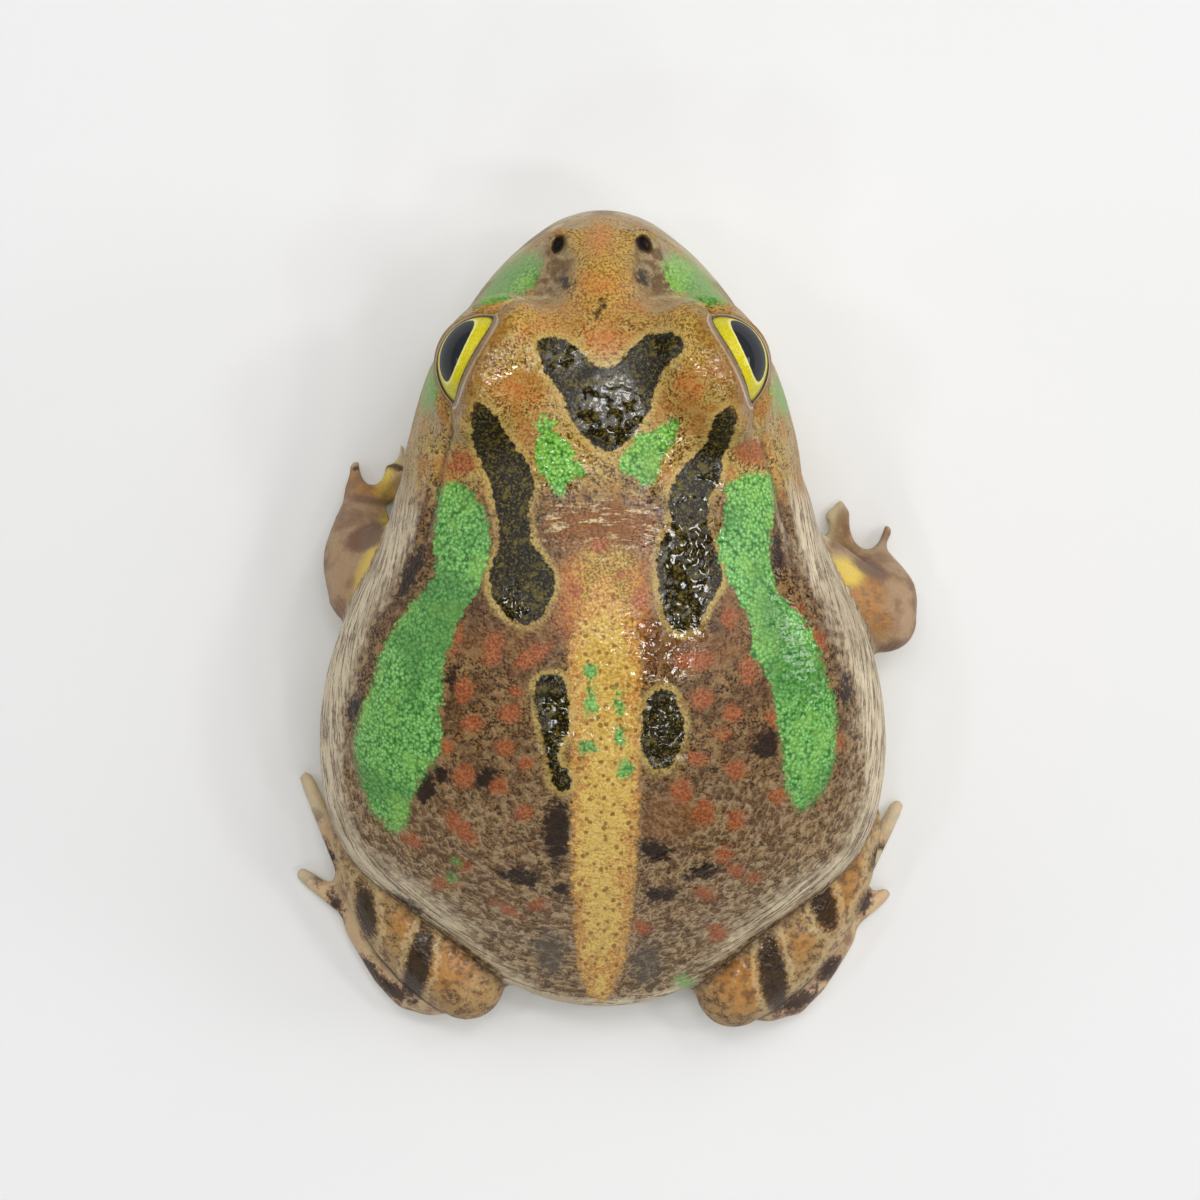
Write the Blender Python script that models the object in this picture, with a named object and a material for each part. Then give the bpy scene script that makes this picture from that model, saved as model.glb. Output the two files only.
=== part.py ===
"""A horned frog at rest on its belly, life size, as a still display model.

Metres, +Z up. The snout points to -Y and the frog's left side is +X. Sizes and places below are
in millimetres, with Y = 0 near the middle of the back, and go into the meshes in metres. Flesh is
melted together from plain forms, and is then parted into its pieces by thin cuts.
"""

import math

import bmesh
import bpy
from mathutils import Matrix, Vector

MM = 0.001
GAP = 0.3

# Driving sizes of the trunk
SNOUT_TO_VENT = 63.2
SNOUT_Y = -30.7
BODY_HALF_WIDTH = 22.4
BACK_HEIGHT = 27.2

# The middle of the whole frog's box, which comes to stand over the origin
BOX_MIDDLE = (-0.23, 1.72)

# Sections of the trunk: share of the length from the snout, half width as a share of the widest,
# heights of the back, of the widest line and of the belly as shares of the back's height, and the
# power that squares the crown of the section where it is under 1
TRUNK_SECTIONS = (
    (0.000, 0.000, 0.460, 0.460, 0.460, 1.00),
    (0.016, 0.168, 0.590, 0.440, 0.300, 0.90),
    (0.048, 0.290, 0.690, 0.425, 0.200, 0.85),
    (0.090, 0.402, 0.765, 0.415, 0.130, 0.80),
    (0.132, 0.487, 0.830, 0.410, 0.085, 0.70),
    (0.205, 0.616, 0.915, 0.400, 0.020, 0.56),
    (0.287, 0.683, 0.975, 0.385, -0.020, 0.52),
    (0.387, 0.750, 0.990, 0.360, -0.045, 0.60),
    (0.443, 0.806, 0.997, 0.350, -0.045, 0.66),
    (0.487, 0.880, 1.000, 0.345, -0.045, 0.70),
    (0.538, 0.942, 0.993, 0.345, -0.045, 0.74),
    (0.600, 0.986, 0.965, 0.350, -0.045, 0.78),
    (0.663, 1.000, 0.915, 0.360, -0.045, 0.82),
    (0.738, 0.980, 0.822, 0.370, -0.045, 0.86),
    (0.802, 0.905, 0.712, 0.370, -0.045, 0.90),
    (0.833, 0.815, 0.650, 0.365, -0.045, 0.92),
    (0.865, 0.690, 0.580, 0.355, -0.035, 0.94),
    (0.905, 0.535, 0.480, 0.330, -0.010, 0.96),
    (0.940, 0.420, 0.390, 0.300, 0.040, 0.98),
    (0.972, 0.310, 0.310, 0.255, 0.090, 1.00),
    (1.000, 0.000, 0.200, 0.200, 0.200, 1.00),
)
TRUNK_RINGS = 44
TRUNK_SIDES = 44
BELLY_ROUNDING = 0.7

# Forms that raise the head out of the trunk: middle or ends, then radii. Those off the middle
# line are made for both sides.
BROW_SHELF = ((0.0, -15.6, 20.6), (9.6, 7.1, 6.5))
BROW_SQUARE = 0.62
SNOUT_RIDGE = ((0.0, -19.5, 23.5), (0.0, -24.2, 20.7), (0.0, -27.0, 16.8))
SNOUT_RIDGE_RADIUS = 3.1
NOSTRIL_SWELLING = ((3.1, -26.9, 18.8), (1.8, 2.3, 1.8))
LID_DOME = ((8.4, -17.7, 24.7), (4.9, 6.3, 5.0))
LOWER_LID = ((9.4, -18.2, 22.2), (3.7, 5.3, 2.8))
LID_TURN = math.radians(25.0)
HORN = ((8.5, -16.9, 26.6), (9.8, -16.8, 29.1))
HORN_RADII = (3.3, 1.4)

EYE_RADIUS = 3.9
EYE_CENTRE = (8.7, -18.0, 24.9)
EYE_RISE = math.radians(24.0)
LID_OPENING = (3.3, 4.1, 2.9)
LID_OPENING_REACH = 3.7

NOSTRIL = (3.3, -27.5, 20.2)
NOSTRIL_RADIUS = 0.5

# The mouth's line from under the snout to past its corner: (Y, height), and how far the upper lip
# stands out over the lower jaw
MOUTH_LINE = ((-30.0, 10.2), (-26.0, 10.7), (-20.0, 10.4), (-14.0, 9.2), (-6.0, 5.8))
LIP_OVERHANG = 0.35
NECK_TOP_Y = -7.6
NECK_FLOOR_Y = -11.4

# The box that holds an upper lid with its horn, on the left side
LID_BOX = ((4.4, -25.0, 25.2), (15.0, -11.0, 34.0))

# Limbs by their joints. Each side keeps the small differences of the pose.
ARMS = {
    "l": {
        "shoulder": (13.0, -5.0, 8.6),
        "elbow": (19.2, -0.6, 6.8),
        "wrist": (19.2, -7.5, 2.7),
        "palm": (18.9, -8.8, 1.3),
        "finger_tips": ((20.1, -11.3, 0.7), (16.0, -12.6, 0.7), (14.6, -10.9, 0.7), (15.2, -8.6, 0.7)),
    },
    "r": {
        "shoulder": (-14.0, -3.6, 9.0),
        "elbow": (-22.4, 1.6, 6.0),
        "wrist": (-21.4, -3.2, 2.6),
        "palm": (-20.9, -4.7, 1.3),
        "finger_tips": ((-23.4, -5.8, 0.7), (-18.9, -8.1, 0.7), (-17.9, -7.2, 0.7), (-17.0, -4.6, 0.7)),
    },
}
ARM_SHARES = (0.0, 0.35, 0.7, 1.0)
UPPER_ARM_RADII = (3.4, 3.4, 3.1, 2.7)
FOREARM_RADII = (2.7, 3.2, 2.6, 1.8)
PALM_RADII = (1.7, 1.9)

LEGS = {
    "l": {
        "hip": (6.5, 24.0, 6.0),
        "knee": (17.8, 17.0, 5.6),
        "heel": (10.9, 30.4, 5.2),
        "instep": (15.2, 30.9, 2.2),
        "sole": (18.8, 25.8, 1.6),
        "toe_tips": (
            (24.7, 21.7, 0.7),
            (24.1, 13.7, 0.7),
            (20.2, 14.4, 0.7),
            (17.4, 17.2, 0.7),
            (15.8, 20.6, 0.7),
        ),
    },
    "r": {
        "hip": (-6.5, 24.4, 6.0),
        "knee": (-18.3, 17.8, 5.6),
        "heel": (-10.5, 31.0, 5.2),
        "instep": (-14.8, 31.4, 2.2),
        "sole": (-18.4, 26.6, 1.6),
        "toe_tips": (
            (-23.2, 23.3, 0.7),
            (-24.0, 16.0, 0.7),
            (-20.8, 15.8, 0.7),
            (-18.0, 17.8, 0.7),
            (-16.0, 21.0, 0.7),
        ),
    },
}
LEG_SHARES = (0.0, 0.3, 0.65, 1.0)
THIGH_RADII = (4.6, 5.2, 4.9, 4.3)
SHANK_RADII = (4.1, 4.4, 4.1, 3.2)
SHANK_BOW = 1.2
TARSUS_RADII = (2.4, 2.2, 2.1)
DIGIT_RADII = (1.05, 0.85, 0.65)
DIGIT_BOW = 0.35
WEB_REACH = 0.45
WEB_THICKNESS = 0.9

# Melting: the grain of the fused flesh, how often it is smoothed, and the faces that are kept
TRUNK_MELT = (0.5, 5, 3600)
LIMB_MELT = (0.4, 3, 380)
ARM_MELT = (0.28, 3, 900)
FOOT_MELT = (0.28, 2, 900)

SHARP_EDGE = math.radians(50.0)
SKIN = ("skin", (0.32, 0.22, 0.12), 0.42)
BELLY = ("belly_skin", (0.80, 0.76, 0.66), 0.50)
LIMB = ("limb_skin", (0.45, 0.33, 0.20), 0.45)
EYE = ("eye", (0.75, 0.68, 0.10), 0.10)


def mesh_object(name, points, faces):
    """A closed mesh from points in millimetres, with its faces turned outwards."""
    mesh = bpy.data.meshes.new(name)
    mesh.from_pydata([Vector(p) * MM for p in points], [], faces)
    shape = bmesh.new()
    shape.from_mesh(mesh)
    bmesh.ops.recalc_face_normals(shape, faces=shape.faces)
    shape.to_mesh(mesh)
    shape.free()
    made = bpy.data.objects.new(name, mesh)
    bpy.context.scene.collection.objects.link(made)
    return made


def drop(*objects):
    for item in objects:
        bpy.data.objects.remove(item)


def copy_of(source, name):
    made = source.copy()
    made.data = source.data.copy()
    made.name = made.data.name = name
    bpy.context.scene.collection.objects.link(made)
    return made


def applied(piece, kind, **settings):
    """Adds one modifier with its settings and applies it."""
    modifier = piece.modifiers.new(kind.lower(), kind)
    for setting, value in settings.items():
        setattr(modifier, setting, value)
    bpy.context.view_layer.objects.active = piece
    bpy.ops.object.modifier_apply(modifier=modifier.name)
    return piece


def cut(piece, cutter, operation="DIFFERENCE"):
    return applied(piece, "BOOLEAN", operation=operation, solver="EXACT", object=cutter)


def fused(name, pieces):
    """One solid from overlapping pieces, by one union on a collection, which is then cleared."""
    group = bpy.data.collections.new(name)
    first, *others = pieces
    for piece in others:
        group.objects.link(piece)
    applied(first, "BOOLEAN", operation="UNION", operand_type="COLLECTION", collection=group)
    drop(*others)
    bpy.data.collections.remove(group)
    first.name = first.data.name = name
    return first


def melted(piece, melt):
    """Softens the creases between fused forms, and lays what would sink flat on the floor."""
    grain, passes, faces = melt
    applied(piece, "REMESH", mode="VOXEL", voxel_size=grain * MM, adaptivity=0.0)
    applied(piece, "SMOOTH", factor=0.5, iterations=passes)
    grounded(largest(piece))
    triangles = sum(len(face.vertices) - 2 for face in piece.data.polygons)
    applied(piece, "DECIMATE", ratio=faces / triangles, use_collapse_triangulate=True)
    return grounded(piece)


def grounded(piece):
    for vertex in piece.data.vertices:
        vertex.co.z = max(vertex.co.z, 0.0)
    return piece


def swollen(source, by=GAP):
    """A copy that stands out from the source all over, to cut a neighbour clear of it."""
    made = copy_of(source, source.name + "_swollen")
    return applied(made, "DISPLACE", mid_level=0.0, strength=by * MM)


def largest(piece):
    """Keeps the largest closed surface of a piece, and drops loose scraps."""
    shape = bmesh.new()
    shape.from_mesh(piece.data)
    unseen = set(shape.verts)
    groups = []
    while unseen:
        group = [unseen.pop()]
        for vertex in group:
            for edge in vertex.link_edges:
                other = edge.other_vert(vertex)
                if other in unseen:
                    unseen.discard(other)
                    group.append(other)
        groups.append(group)

    def spread(group):
        sides = [[v.co[k] for v in group] for k in range(3)]
        return math.prod(max(side) - min(side) + MM for side in sides)

    kept = set(max(groups, key=spread))
    bmesh.ops.delete(shape, geom=[v for v in shape.verts if v not in kept], context="VERTS")
    shape.to_mesh(piece.data)
    shape.free()
    return piece


def ringed(name, rings, first_pole, last_pole):
    """A closed skin over rings of equal length, with a point at each end."""
    sides = len(rings[0])
    points = [first_pole]
    for ring in rings:
        points += ring
    points.append(last_pole)
    last = 1 + (len(rings) - 1) * sides
    faces = []
    for k in range(sides):
        after = (k + 1) % sides
        faces.append((0, 1 + after, 1 + k))
        faces.append((last + k, last + after, len(points) - 1))
        for low in range(1, last, sides):
            high = low + sides
            faces.append((low + k, low + after, high + after, high + k))
    return mesh_object(name, points, faces)


def on_curve(stations, at):
    """Every column of a table at one place, on a curve that never overshoots its stations."""
    keys = [row[0] for row in stations]
    i = max(k for k in range(len(keys) - 1) if keys[k] <= at)
    span = keys[i + 1] - keys[i]
    t = (at - keys[i]) / span
    values = []
    for column in range(1, len(stations[0])):
        heights = [row[column] for row in stations]
        steps = [(b - a) / (q - p) for a, b, p, q in zip(heights, heights[1:], keys, keys[1:])]
        slopes = [steps[0]]
        for before, after in zip(steps, steps[1:]):
            slopes.append(0.0 if before * after <= 0 else 2 * before * after / (before + after))
        slopes.append(steps[-1])
        start = (1 + 2 * t) * (1 - t) ** 2 * heights[i] + span * t * (1 - t) ** 2 * slopes[i]
        end = t * t * (3 - 2 * t) * heights[i + 1] + span * t * t * (t - 1) * slopes[i + 1]
        values.append(start + end)
    return values


def trunk():
    """The whole body from snout to vent, with rings closer together where it rounds off."""
    by_ring = [(math.acos(1 - 2 * row[0]), *row[1:]) for row in TRUNK_SECTIONS]
    rings = []
    for r in range(1, TRUNK_RINGS):
        turn = math.pi * r / TRUNK_RINGS
        y = SNOUT_Y + SNOUT_TO_VENT * (1 - math.cos(turn)) / 2
        width, back, widest, belly, power = on_curve(by_ring, turn)
        ring = []
        for k in range(TRUNK_SIDES):
            angle = 2 * math.pi * k / TRUNK_SIDES
            rise = math.sin(angle)
            if rise >= 0:
                z = widest + (back - widest) * rise**power
            else:
                z = widest - (widest - belly) * (-rise) ** BELLY_ROUNDING
            ring.append((BODY_HALF_WIDTH * width * math.cos(angle), y, BACK_HEIGHT * z))
        rings.append(ring)
    snout = (0.0, SNOUT_Y, BACK_HEIGHT * TRUNK_SECTIONS[0][2])
    vent = (0.0, SNOUT_Y + SNOUT_TO_VENT, BACK_HEIGHT * TRUNK_SECTIONS[-1][2])
    return ringed("trunk", rings, snout, vent)


def ball(name, centre, radii, turn=0.0, square=1.0, sides=24, rings=12):
    """An ellipsoid, boxier where its power is under 1, turned about the upright axis."""
    spin = Matrix.Rotation(turn, 3, "Z")

    def bent(value):
        return math.copysign(abs(value) ** square, value)

    def place(around, down):
        across = bent(math.cos(around)) * bent(math.sin(down)) * radii[0]
        along = bent(math.sin(around)) * bent(math.sin(down)) * radii[1]
        return tuple(Vector(centre) + spin @ Vector((across, along, bent(math.cos(down)) * radii[2])))

    loops = []
    for r in range(1, rings):
        loops.append([place(2 * math.pi * k / sides, math.pi * r / rings) for k in range(sides)])
    top = Vector(centre) + Vector((0, 0, radii[2]))
    foot = Vector(centre) - Vector((0, 0, radii[2]))
    return ringed(name, loops, tuple(top), tuple(foot))


def through(points, steps):
    """Points on a smooth line through the given ones, with the given steps to each span."""
    found = []
    for i in range(len(points) - 1):
        before, after = points[max(i - 1, 0)], points[min(i + 2, len(points) - 1)]
        for k in range(steps):
            t = k / steps
            weights = (
                (-t + 2 * t * t - t**3) / 2,
                (2 - 5 * t * t + 3 * t**3) / 2,
                (t + 4 * t * t - 3 * t**3) / 2,
                (t**3 - t * t) / 2,
            )
            rows = (before, points[i], points[i + 1], after)
            found.append([sum(w * v for w, v in zip(weights, column)) for column in zip(*rows)])
    found.append(list(points[-1]))
    return found


def tube(name, points, radii, sides=12, steps=3, caps=3):
    """A round form along points, with a radius at each and rounded ends."""
    line = through([(*p, r) for p, r in zip(points, radii)], steps)
    centres = [Vector(p[:3]) for p in line]
    last = len(line) - 1
    ways = [(centres[min(i + 1, last)] - centres[max(i - 1, 0)]).normalized() for i in range(last + 1)]
    upright = Vector((0, 0, 1)) if abs(ways[0].z) < 0.8 else Vector((0, 1, 0))
    rings = []

    def add_ring(i, along, shrink):
        way = ways[i]
        across = way.cross(upright).normalized()
        lift = across.cross(way)
        middle = centres[i] + way * line[i][3] * along
        spokes = [2 * math.pi * (k + 0.5) / sides for k in range(sides)]
        reach = line[i][3] * shrink
        rings.append([tuple(middle + reach * (math.cos(a) * across + math.sin(a) * lift)) for a in spokes])

    bends = [math.pi / 2 * k / (caps + 1) for k in range(1, caps + 1)]
    for bend in reversed(bends):
        add_ring(0, -math.sin(bend), math.cos(bend))
    for i in range(last + 1):
        add_ring(i, 0.0, 1.0)
    for bend in bends:
        add_ring(last, math.sin(bend), math.cos(bend))
    start = centres[0] - ways[0] * line[0][3]
    end = centres[-1] + ways[-1] * line[-1][3]
    return ringed(name, rings, tuple(start), tuple(end))


def bone(name, start, end, shares, radii, bow=(0.0, 0.0, 0.0)):
    """A limb's length from joint to joint, with its radii at shares of it, bowed to one side."""
    start, end, bow = Vector(start), Vector(end), Vector(bow)
    points = [start.lerp(end, share) + bow * math.sin(math.pi * share) for share in shares]
    return tube(name, points, radii)


def digits(name, root, tips):
    """Fingers or toes that spread from one root, arched a little, with webs between their bases."""
    made = []
    root = Vector(root)
    for i, tip in enumerate(map(Vector, tips)):
        way = (tip - root).normalized()
        middle = root.lerp(tip, 0.5) + Vector((0, 0, DIGIT_BOW))
        end = tip - way * DIGIT_RADII[-1]
        made.append(tube(f"{name}_{i}", (root, middle, end), DIGIT_RADII, sides=8, steps=3, caps=2))
    for i, (one, other) in enumerate(zip(map(Vector, tips), map(Vector, tips[1:]))):
        corners = [root, root.lerp(one, WEB_REACH), root.lerp(other, WEB_REACH)]
        low, high = root.z - WEB_THICKNESS / 2, root.z + WEB_THICKNESS / 2
        points = [(c.x, c.y, z) for z in (low, high) for c in corners]
        faces = [(0, 2, 1), (3, 4, 5), (0, 1, 4, 3), (1, 2, 5, 4), (2, 0, 3, 5)]
        made.append(mesh_object(f"{name}_web_{i}", points, faces))
    return made


def on_side(point, side):
    return (point[0] * side, *point[1:])


def half_space(point, normal, size=80.0):
    """A block that fills everything past a plane."""
    corners = [(x, y, z) for x in (-size, size) for y in (-size, size) for z in (0.0, size)]
    faces = [(0, 1, 3, 2), (4, 6, 7, 5), (0, 4, 5, 1), (2, 3, 7, 6), (0, 2, 6, 4), (1, 5, 7, 3)]
    block = mesh_object("half_space", corners, faces)
    turn = Vector(normal).to_track_quat("Z", "Y").to_matrix().to_4x4()
    block.data.transform(Matrix.Translation(Vector(point) * MM) @ turn)
    return block


def parted(source, point, normal):
    """Parts a solid by a thin plane cut into the piece before the plane and the one past it."""
    way = Vector(normal).normalized()
    pieces = []
    for facing in (1, -1):
        piece = copy_of(source, "piece")
        block = half_space(Vector(point) - way * facing * GAP / 2, way * facing)
        pieces.append(largest(cut(piece, block)))
        drop(block)
    drop(source)
    return pieces


def mouth_block(side):
    """Everything above the mouth's line, or below it, less half of the cut."""
    far, width = 60.0, 40.0
    line = [(y, z - GAP / 2 * side) for y, z in MOUTH_LINE]
    front = (line[0][0] - far, line[0][1])
    back = (line[-1][0] + far, line[-1][1])
    profile = [front, *line, back, (back[0], far * side), (front[0], far * side)]
    count = len(profile)
    points = [(x, y, z) for x in (-width, width) for y, z in profile]
    faces = [tuple(range(count)), tuple(range(count, 2 * count))]
    faces += [(k, (k + 1) % count, count + (k + 1) % count, count + k) for k in range(count)]
    return mesh_object("mouth_block", points, faces)


def lid_box(side, grow):
    """The box round one upper lid, grown by a distance on every side."""
    low = Vector(LID_BOX[0]) - Vector((grow, grow, grow))
    high = Vector(LID_BOX[1]) + Vector((grow, grow, grow))
    corners = [(x * side, y, z) for x in (low.x, high.x) for y in (low.y, high.y) for z in (low.z, high.z)]
    faces = [(0, 1, 3, 2), (4, 6, 7, 5), (0, 4, 5, 1), (2, 3, 7, 6), (0, 2, 6, 4), (1, 5, 7, 3)]
    return mesh_object("lid_box", corners, faces)


def material(kind):
    name, colour, roughness = kind
    made = bpy.data.materials.get(name) or bpy.data.materials.new(name)
    made.use_nodes = True
    shader = made.node_tree.nodes["Principled BSDF"]
    shader.inputs["Base Color"].default_value = (*colour, 1)
    shader.inputs["Roughness"].default_value = roughness
    shader.inputs["Metallic"].default_value = 0.0
    return made


def finish(piece, name, kind, root):
    """Names a piece, gives it its material and an origin of its own, and hangs it on the root."""
    piece.name = piece.data.name = name
    piece.data.materials.append(material(kind))
    middle = sum((Vector(corner) for corner in piece.bound_box), Vector()) / 8
    piece.data.transform(Matrix.Translation(-middle))
    piece.location = middle
    piece.parent = root
    piece.data.shade_smooth()
    piece.data.set_sharp_from_angle(angle=SHARP_EDGE)


def flesh():
    """Trunk and head as one solid, with brows, snout ridge, lids and horns grown out of it."""
    forms = [
        trunk(),
        ball("brow_shelf", *BROW_SHELF, square=BROW_SQUARE),
        tube("snout_ridge", SNOUT_RIDGE, (SNOUT_RIDGE_RADIUS,) * len(SNOUT_RIDGE)),
    ]
    for side in (1, -1):
        forms.append(ball("nostril_swelling", on_side(NOSTRIL_SWELLING[0], side), NOSTRIL_SWELLING[1]))
        forms.append(ball("lid_dome", on_side(LID_DOME[0], side), LID_DOME[1], -LID_TURN * side))
        forms.append(ball("lower_lid", on_side(LOWER_LID[0], side), LOWER_LID[1], -LID_TURN * side))
        forms.append(tube("horn", [on_side(p, side) for p in HORN], HORN_RADII))
    return melted(fused("flesh", forms), TRUNK_MELT)


def opened_for_eye(piece, side):
    """Cuts the almond between the lids, the room for the eye behind it, and the nostril."""
    around = -LID_TURN * side
    out = Vector((side * math.cos(LID_TURN), -math.sin(LID_TURN), math.tan(EYE_RISE))).normalized()
    centre = Vector(on_side(EYE_CENTRE, side))
    opening = ball("opening", centre + out * LID_OPENING_REACH, LID_OPENING, around)
    socket = ball("socket", centre, (EYE_RADIUS + GAP,) * 3, sides=28, rings=16)
    deep = (NOSTRIL_RADIUS, NOSTRIL_RADIUS * 1.5, NOSTRIL_RADIUS * 4)
    nostril = ball("nostril", on_side(NOSTRIL, side), deep, sides=10, rings=8)
    for cutter in (opening, socket, nostril):
        cut(piece, cutter)
        drop(cutter)


def head_and_torso(body, root):
    """Parts the flesh into head, lower jaw, upper lids with their horns, and torso."""
    neck = (0.0, NECK_TOP_Y, BACK_HEIGHT)
    neck_slope = (0.0, BACK_HEIGHT, NECK_FLOOR_Y - NECK_TOP_Y)
    jaw, throat = parted(swollen(body, -LIP_OVERHANG), neck, neck_slope)
    drop(throat)
    head, torso = parted(body, neck, neck_slope)
    for piece, side in ((head, -1), (jaw, 1)):
        block = mouth_block(side)
        largest(cut(piece, block))
        drop(block)
    for side, letter in ((1, "l"), (-1, "r")):
        opened_for_eye(head, side)
        lid = copy_of(head, "lid")
        inner, outer = lid_box(side, -GAP / 2), lid_box(side, GAP / 2)
        largest(cut(lid, inner, "INTERSECT"))
        largest(cut(head, outer))
        drop(inner, outer)
        eye = ball("eye", on_side(EYE_CENTRE, side), (EYE_RADIUS,) * 3, sides=24, rings=14)
        finish(eye, "eye_" + letter, EYE, root)
        finish(lid, "eyelid_horn_" + letter, SKIN, root)
    finish(head, "head", SKIN, root)
    finish(jaw, "lower_jaw", BELLY, root)
    finish(torso, "torso", SKIN, root)


def arm(joints, letter, clearance, root):
    """Upper arm, forearm and hand, made in one, cut clear of the body and parted at their joints."""
    shoulder, elbow, wrist, palm = (Vector(joints[key]) for key in ("shoulder", "elbow", "wrist", "palm"))
    forms = [
        bone("upper_arm", shoulder, elbow, ARM_SHARES, UPPER_ARM_RADII),
        bone("forearm", elbow, wrist, ARM_SHARES, FOREARM_RADII),
        tube("palm", (wrist, palm), PALM_RADII),
        *digits("finger", palm, joints["finger_tips"]),
    ]
    whole = melted(fused("arm", forms), ARM_MELT)
    largest(cut(whole, clearance))
    across_elbow = (elbow - shoulder).normalized() + (wrist - elbow).normalized()
    upper, lower = parted(whole, elbow, across_elbow)
    forearm, hand = parted(lower, wrist, wrist - elbow)
    finish(upper, "upper_arm_" + letter, LIMB, root)
    finish(forearm, "forearm_" + letter, LIMB, root)
    finish(hand, "hand_" + letter, LIMB, root)


def leg(joints, letter, clearance, root):
    """Thigh, shank and foot, folded against the flank and cut clear of each other."""
    side = math.copysign(1.0, joints["heel"][0])
    bow = (SHANK_BOW * side, SHANK_BOW * 0.6, 0.0)
    shank = bone("shank", joints["knee"], joints["heel"], LEG_SHARES, SHANK_RADII, bow)
    thigh = bone("thigh", joints["hip"], joints["knee"], LEG_SHARES, THIGH_RADII)
    tarsus = tube("tarsus", (joints["heel"], joints["instep"], joints["sole"]), TARSUS_RADII)
    foot = fused("foot", [tarsus, *digits("toe", joints["sole"], joints["toe_tips"])])
    melted(foot, FOOT_MELT)
    cutters = [clearance]
    for piece, name in ((shank, "shank_"), (thigh, "thigh_"), (foot, "foot_")):
        if piece is not foot:
            melted(piece, LIMB_MELT)
        for cutter in cutters:
            cut(piece, cutter)
        cutters.append(swollen(largest(piece)))
        finish(piece, name + letter, LIMB, root)
    drop(*cutters[1:])


def main():
    for item in list(bpy.data.objects):
        bpy.data.objects.remove(item)
    root = bpy.data.objects.new("frog", None)
    bpy.context.scene.collection.objects.link(root)
    body = flesh()
    clearance = swollen(body)
    head_and_torso(body, root)
    for letter in ("l", "r"):
        arm(ARMS[letter], letter, clearance, root)
        leg(LEGS[letter], letter, clearance, root)
    drop(clearance)
    root.location = (-BOX_MIDDLE[0] * MM, -BOX_MIDDLE[1] * MM, 0.0)


main()
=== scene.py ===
"""The looks of a horned frog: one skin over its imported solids, its eyes, its markings and a stage.

Run it with blender --background --python scene.py, or from Blender's text editor. Blender shows
sizes in metres, and the constants and functions below are in millimetres where no other unit is
named. The snout points to -Y, and the frog's left side is +X.
"""

import math

import bmesh
import bpy
import numpy as np
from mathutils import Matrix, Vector, noise
from mathutils.bvhtree import BVHTree


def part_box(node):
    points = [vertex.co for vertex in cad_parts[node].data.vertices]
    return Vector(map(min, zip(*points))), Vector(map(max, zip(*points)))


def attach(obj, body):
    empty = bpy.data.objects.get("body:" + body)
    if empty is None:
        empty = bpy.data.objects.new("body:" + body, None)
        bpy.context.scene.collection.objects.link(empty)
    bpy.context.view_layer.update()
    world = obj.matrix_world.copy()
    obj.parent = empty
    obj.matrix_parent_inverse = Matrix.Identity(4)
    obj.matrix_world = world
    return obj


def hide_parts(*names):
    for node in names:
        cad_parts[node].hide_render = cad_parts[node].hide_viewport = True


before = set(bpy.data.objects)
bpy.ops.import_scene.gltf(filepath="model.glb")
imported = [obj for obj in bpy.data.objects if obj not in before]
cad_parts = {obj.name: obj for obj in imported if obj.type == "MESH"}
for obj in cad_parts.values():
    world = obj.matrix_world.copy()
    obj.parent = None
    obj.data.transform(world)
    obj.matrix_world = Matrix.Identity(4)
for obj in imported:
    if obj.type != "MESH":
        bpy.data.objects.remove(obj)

bl_info = {
    "name": "Horned Frog",
    "version": (1, 0, 0),
    "blender": (4, 5, 0),
    "location": "3D View > Sidebar > Frog",
    "description": "Builds the skin, eyes, markings and stage of a horned frog",
    "category": "Object",
}

MM = 0.001
SIDES = (("l", 1), ("r", -1))
FLESH = [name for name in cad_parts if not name.startswith("eye_")]
TRUNK = [name for name in FLESH if name in ("head", "lower_jaw", "torso") or "lid" in name]
LIMBS = [name for name in FLESH if name not in TRUNK]
FEET = ("foot_l", "foot_r")
LEGS = ("shank_l", "shank_r", "thigh_l", "thigh_r")

# The camera hangs straight over the frog. The photo is 1200 pixels on each side.
PHOTO_SIZE = 1200
CAMERA_HEIGHT = 480.0
CAMERA_PLACE = (0.43, -1.72)
FOCUS = 5954.0

# The eye's gaze, the slit between the lids and the pupil, in radians round the eyeball
GAZE_FORWARD = math.radians(26.0)
GAZE_RISE = math.radians(45.0)
SLIT_MIDDLE = 0.14
SLIT_HALF = 1.10
SLIT_TILT = -0.126
SLIT_UPPER = 0.46
SLIT_LOWER = 0.50
SLIT_BOW = 0.62
PUPIL_PLACE = (0.03, -0.09)
PUPIL = (0.64, 0.31)
CLEAR_FRONT_BULGE = 0.035

# How far round the eyes, the rims of their slits and the nostrils the skin's faces are split
BROW_REACH = 6.2
RIM_REACHES = (0.5, 0.18)
NOSTRIL_REACH = 1.8

# Round the eyes and off the back the flattest faces are merged, for fewer than 200,000 triangles
THINNED_REACH = 7.0
FACES_KEPT = 0.7

# The nostrils' middles on the left and right, then their slant, half sizes, depth and soft rim
NOSTRILS = ((3.62, -29.25, 20.2), (-3.05, -29.25, 20.2))
NOSTRIL_SLANT = (0.45, 0.89)
NOSTRIL_HALF = (0.84, 0.50)
NOSTRIL_DEPTH = 1.2
NOSTRIL_SWELLING = 0.16

# The mouth's line from snout to corner, as places along the head and heights
MOUTH_LINE = ((-32.0, 10.2), (-27.7, 10.7), (-21.7, 10.4), (-15.7, 9.2), (-12.2, 7.7))
UPPER_LIP, LOWER_LIP = 0.14, 0.08
WRINKLE_SPACING = 1.3

# Where the spine starts and ends, and the roots of the digits on each hand and foot
SPINE_ENDS = (-14.0, 13.0)
DIGIT_ROOTS = {
    "hand_l": (19.1, -10.5),
    "hand_r": (-20.7, -6.4),
    "foot_l": (19.0, 24.1),
    "foot_r": (-18.2, 24.9),
}

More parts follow.
